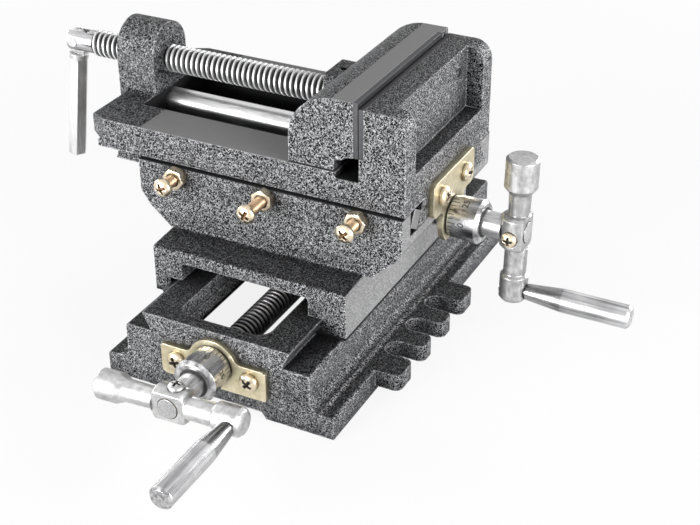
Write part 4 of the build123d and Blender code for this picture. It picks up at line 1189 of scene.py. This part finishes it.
# %% [markdown]
# ## Cranks, grips and the clamp handle
#
# The cross arms are cast and turned, the grips are turned bars. Where the lead screw comes through the flat
# of the hub, the fit is never quite closed, and the gap lies in shade. It could be a groove in the mesh, but
# a narrow ring of dark faces on the flat paints that shadow.

# %% Dress the cranks and bars
HUB_FACE = 36.5 + 4.8
# A ring of dark faces that paints the shadow in the gap round the lead screw.
seam_shadow = flat_ring(5.0, 5.45, HUB_FACE + 0.03)
make_piece("base_crank", "turned_steel", [cast_steel_x, recess_dark], placed((seam_shadow, FRONT_HUB)))
make_piece("cross_crank", "turned_steel", [cast_steel_z, recess_dark], placed((seam_shadow, CROSS_HUB)))
for node, finish in (
    ("base_crank_grip", grip_y),
    ("cross_crank_grip", grip_x),
    ("guide_rod", rod_steel),
    ("clamp_handle", bar_steel),
    ("clamp_cross_pin", steel_y),
):
    make_piece(node, "turned_steel", [finish])
print("bright parts", sum(slot == "turned_steel" for slot in node_slot.values()))

# %% [markdown]
# ## Jaw plates, nuts and the last pins
#
# The jaw plates are ground, hardened steel, dark from the hardening. The two nuts of the lead screws are
# bronze and hide under the slides, and are finished all the same, because a look from below shows them.

# %% Dress the hidden parts
for node in ("fixed_jaw_plate", "movable_jaw_plate", "fixed_jaw_plate_screws", "movable_jaw_plate_screws",
             "clamp_screw_keeper"):
    make_piece(node, "dark_steel", [dark_steel])
for node in ("base_lead_nut", "cross_lead_nut"):
    make_piece(node, "nut_bronze", [bronze])
print("pieces", len(node_slot), "of", len(frame["nodes"]))

# %% [markdown]
# ## The floor
#
# A catalogue picture stands on white. A backdrop could be bent up behind the vise, but a flat floor serves
# every view. It is pale and lit, and part of its white is its own, given only to the camera's rays: so it
# reads as white, still keeps the vise's shadow, and sends no extra light up at the castings. Far from the
# vise, where the lamps don't reach, its own white grows to the whole of it, so that no grey band shows at
# the horizon.

# %% Lay the floor
FLOOR_HALF = 4.0
FLOOR_BELOW = 0.0002
FLOOR_NEAR, FLOOR_FAR = 450.0, 1500.0   # millimetres, between which the floor's own white grows
OWN_WHITE = 0.87

mesh = bpy.data.meshes.new("floor")
corners = ((-1, -1), (1, -1), (1, 1), (-1, 1))
mesh.from_pydata([(x * FLOOR_HALF, y * FLOOR_HALF, 0) for x, y in corners], [], [(0, 1, 2, 3)])
floor = bpy.data.objects.new("floor", mesh)
floor.location.z = -FLOOR_BELOW
bpy.context.scene.collection.objects.link(floor)

white = Finish("floor_white", Base_Color=(0.86, 0.86, 0.86), Roughness=0.9)
seen = white.add("ShaderNodeLightPath", output="Is Camera Ray")
distance = white.add("ShaderNodeVectorMath", {"operation": "LENGTH"}, (white.place(),), output="Value")
own = seen * distance.spread(FLOOR_NEAR, FLOOR_FAR, OWN_WHITE, 1.0)
glow = white.add("ShaderNodeEmission", {}, {"Color": (1.0, 1.0, 1.0), "Strength": 1.0})
blend = white.add("ShaderNodeMixShader", {}, (own, Signal(white, white.shader.outputs[0]), glow))
white.feed(white.tree.nodes["Material Output"].inputs["Surface"], blend)
mesh.materials.append(white.material)
print("floor", 2 * FLOOR_HALF, "m wide")

# %% [markdown]
# ## The sky
#
# The sky is white where it is seen, by the camera itself and in reflections on metal, and much softer for
# the light that it gives, which the lamps should do. An image of a studio would give livelier reflections,
# but plain white keeps the part's look free of any one room.

# %% Build the sky
SKY_LIGHT = 0.10

world = bpy.data.worlds.new("studio")
bpy.context.scene.world = world
sky = Nodes(world)
background = sky.tree.nodes["Background"]
sky.feed(background.inputs["Color"], (1.0, 1.0, 1.0))
camera_ray, glossy_ray, glass_ray = (
    sky.add("ShaderNodeLightPath", output=kind)
    for kind in ("Is Camera Ray", "Is Glossy Ray", "Is Transmission Ray")
)
shown = camera_ray.largest(glossy_ray).largest(glass_ray)
sky.feed(background.inputs["Strength"], shown.spread(0.0, 1.0, SKY_LIGHT, 1.0))
print("sky lights with", SKY_LIGHT, "and shows as 1")

# %% [markdown]
# ## Four soft lamps
#
# Small lamps would give hard shadows, so each is an area lamp about twice as large as the vise. The key
# lights the front, the fill the right side, and two weaker ones the back and the left, so that the vise
# looks well from every side. None stands straight opposite the camera, where it would glare on the flat top
# of the jaw.

# %% Hang the lamps
AIM = Vector((0, 0, 0.08))
LAMPS = {
    "key": ((-0.50, -1.15, 0.28), (0.6, 0.5), 25),
    "fill": ((1.15, -0.40, 0.30), (0.7, 0.5), 21),
    "back": ((0.60, 1.15, 0.30), (0.7, 0.5), 14),
    "side": ((-1.20, 0.25, 0.30), (0.6, 0.5), 9),
}
for name, (at, size, watts) in LAMPS.items():
    data = bpy.data.lights.new(name, "AREA")
    data.shape = "RECTANGLE"
    data.size, data.size_y = size
    data.energy = watts
    lamp = bpy.data.objects.new(name, data)
    lamp.location = at
    lamp.rotation_euler = (AIM - Vector(at)).to_track_quat("-Z", "Y").to_euler()
    bpy.context.scene.collection.objects.link(lamp)
bpy.context.scene.view_settings.view_transform = "Standard"
print("lamps", sum(watts for at, size, watts in LAMPS.values()), "W together")

# %% [markdown]
# ## The size
#
# The dressed vise's box should be that of the CAD model, since paint and threads add nothing to its size.
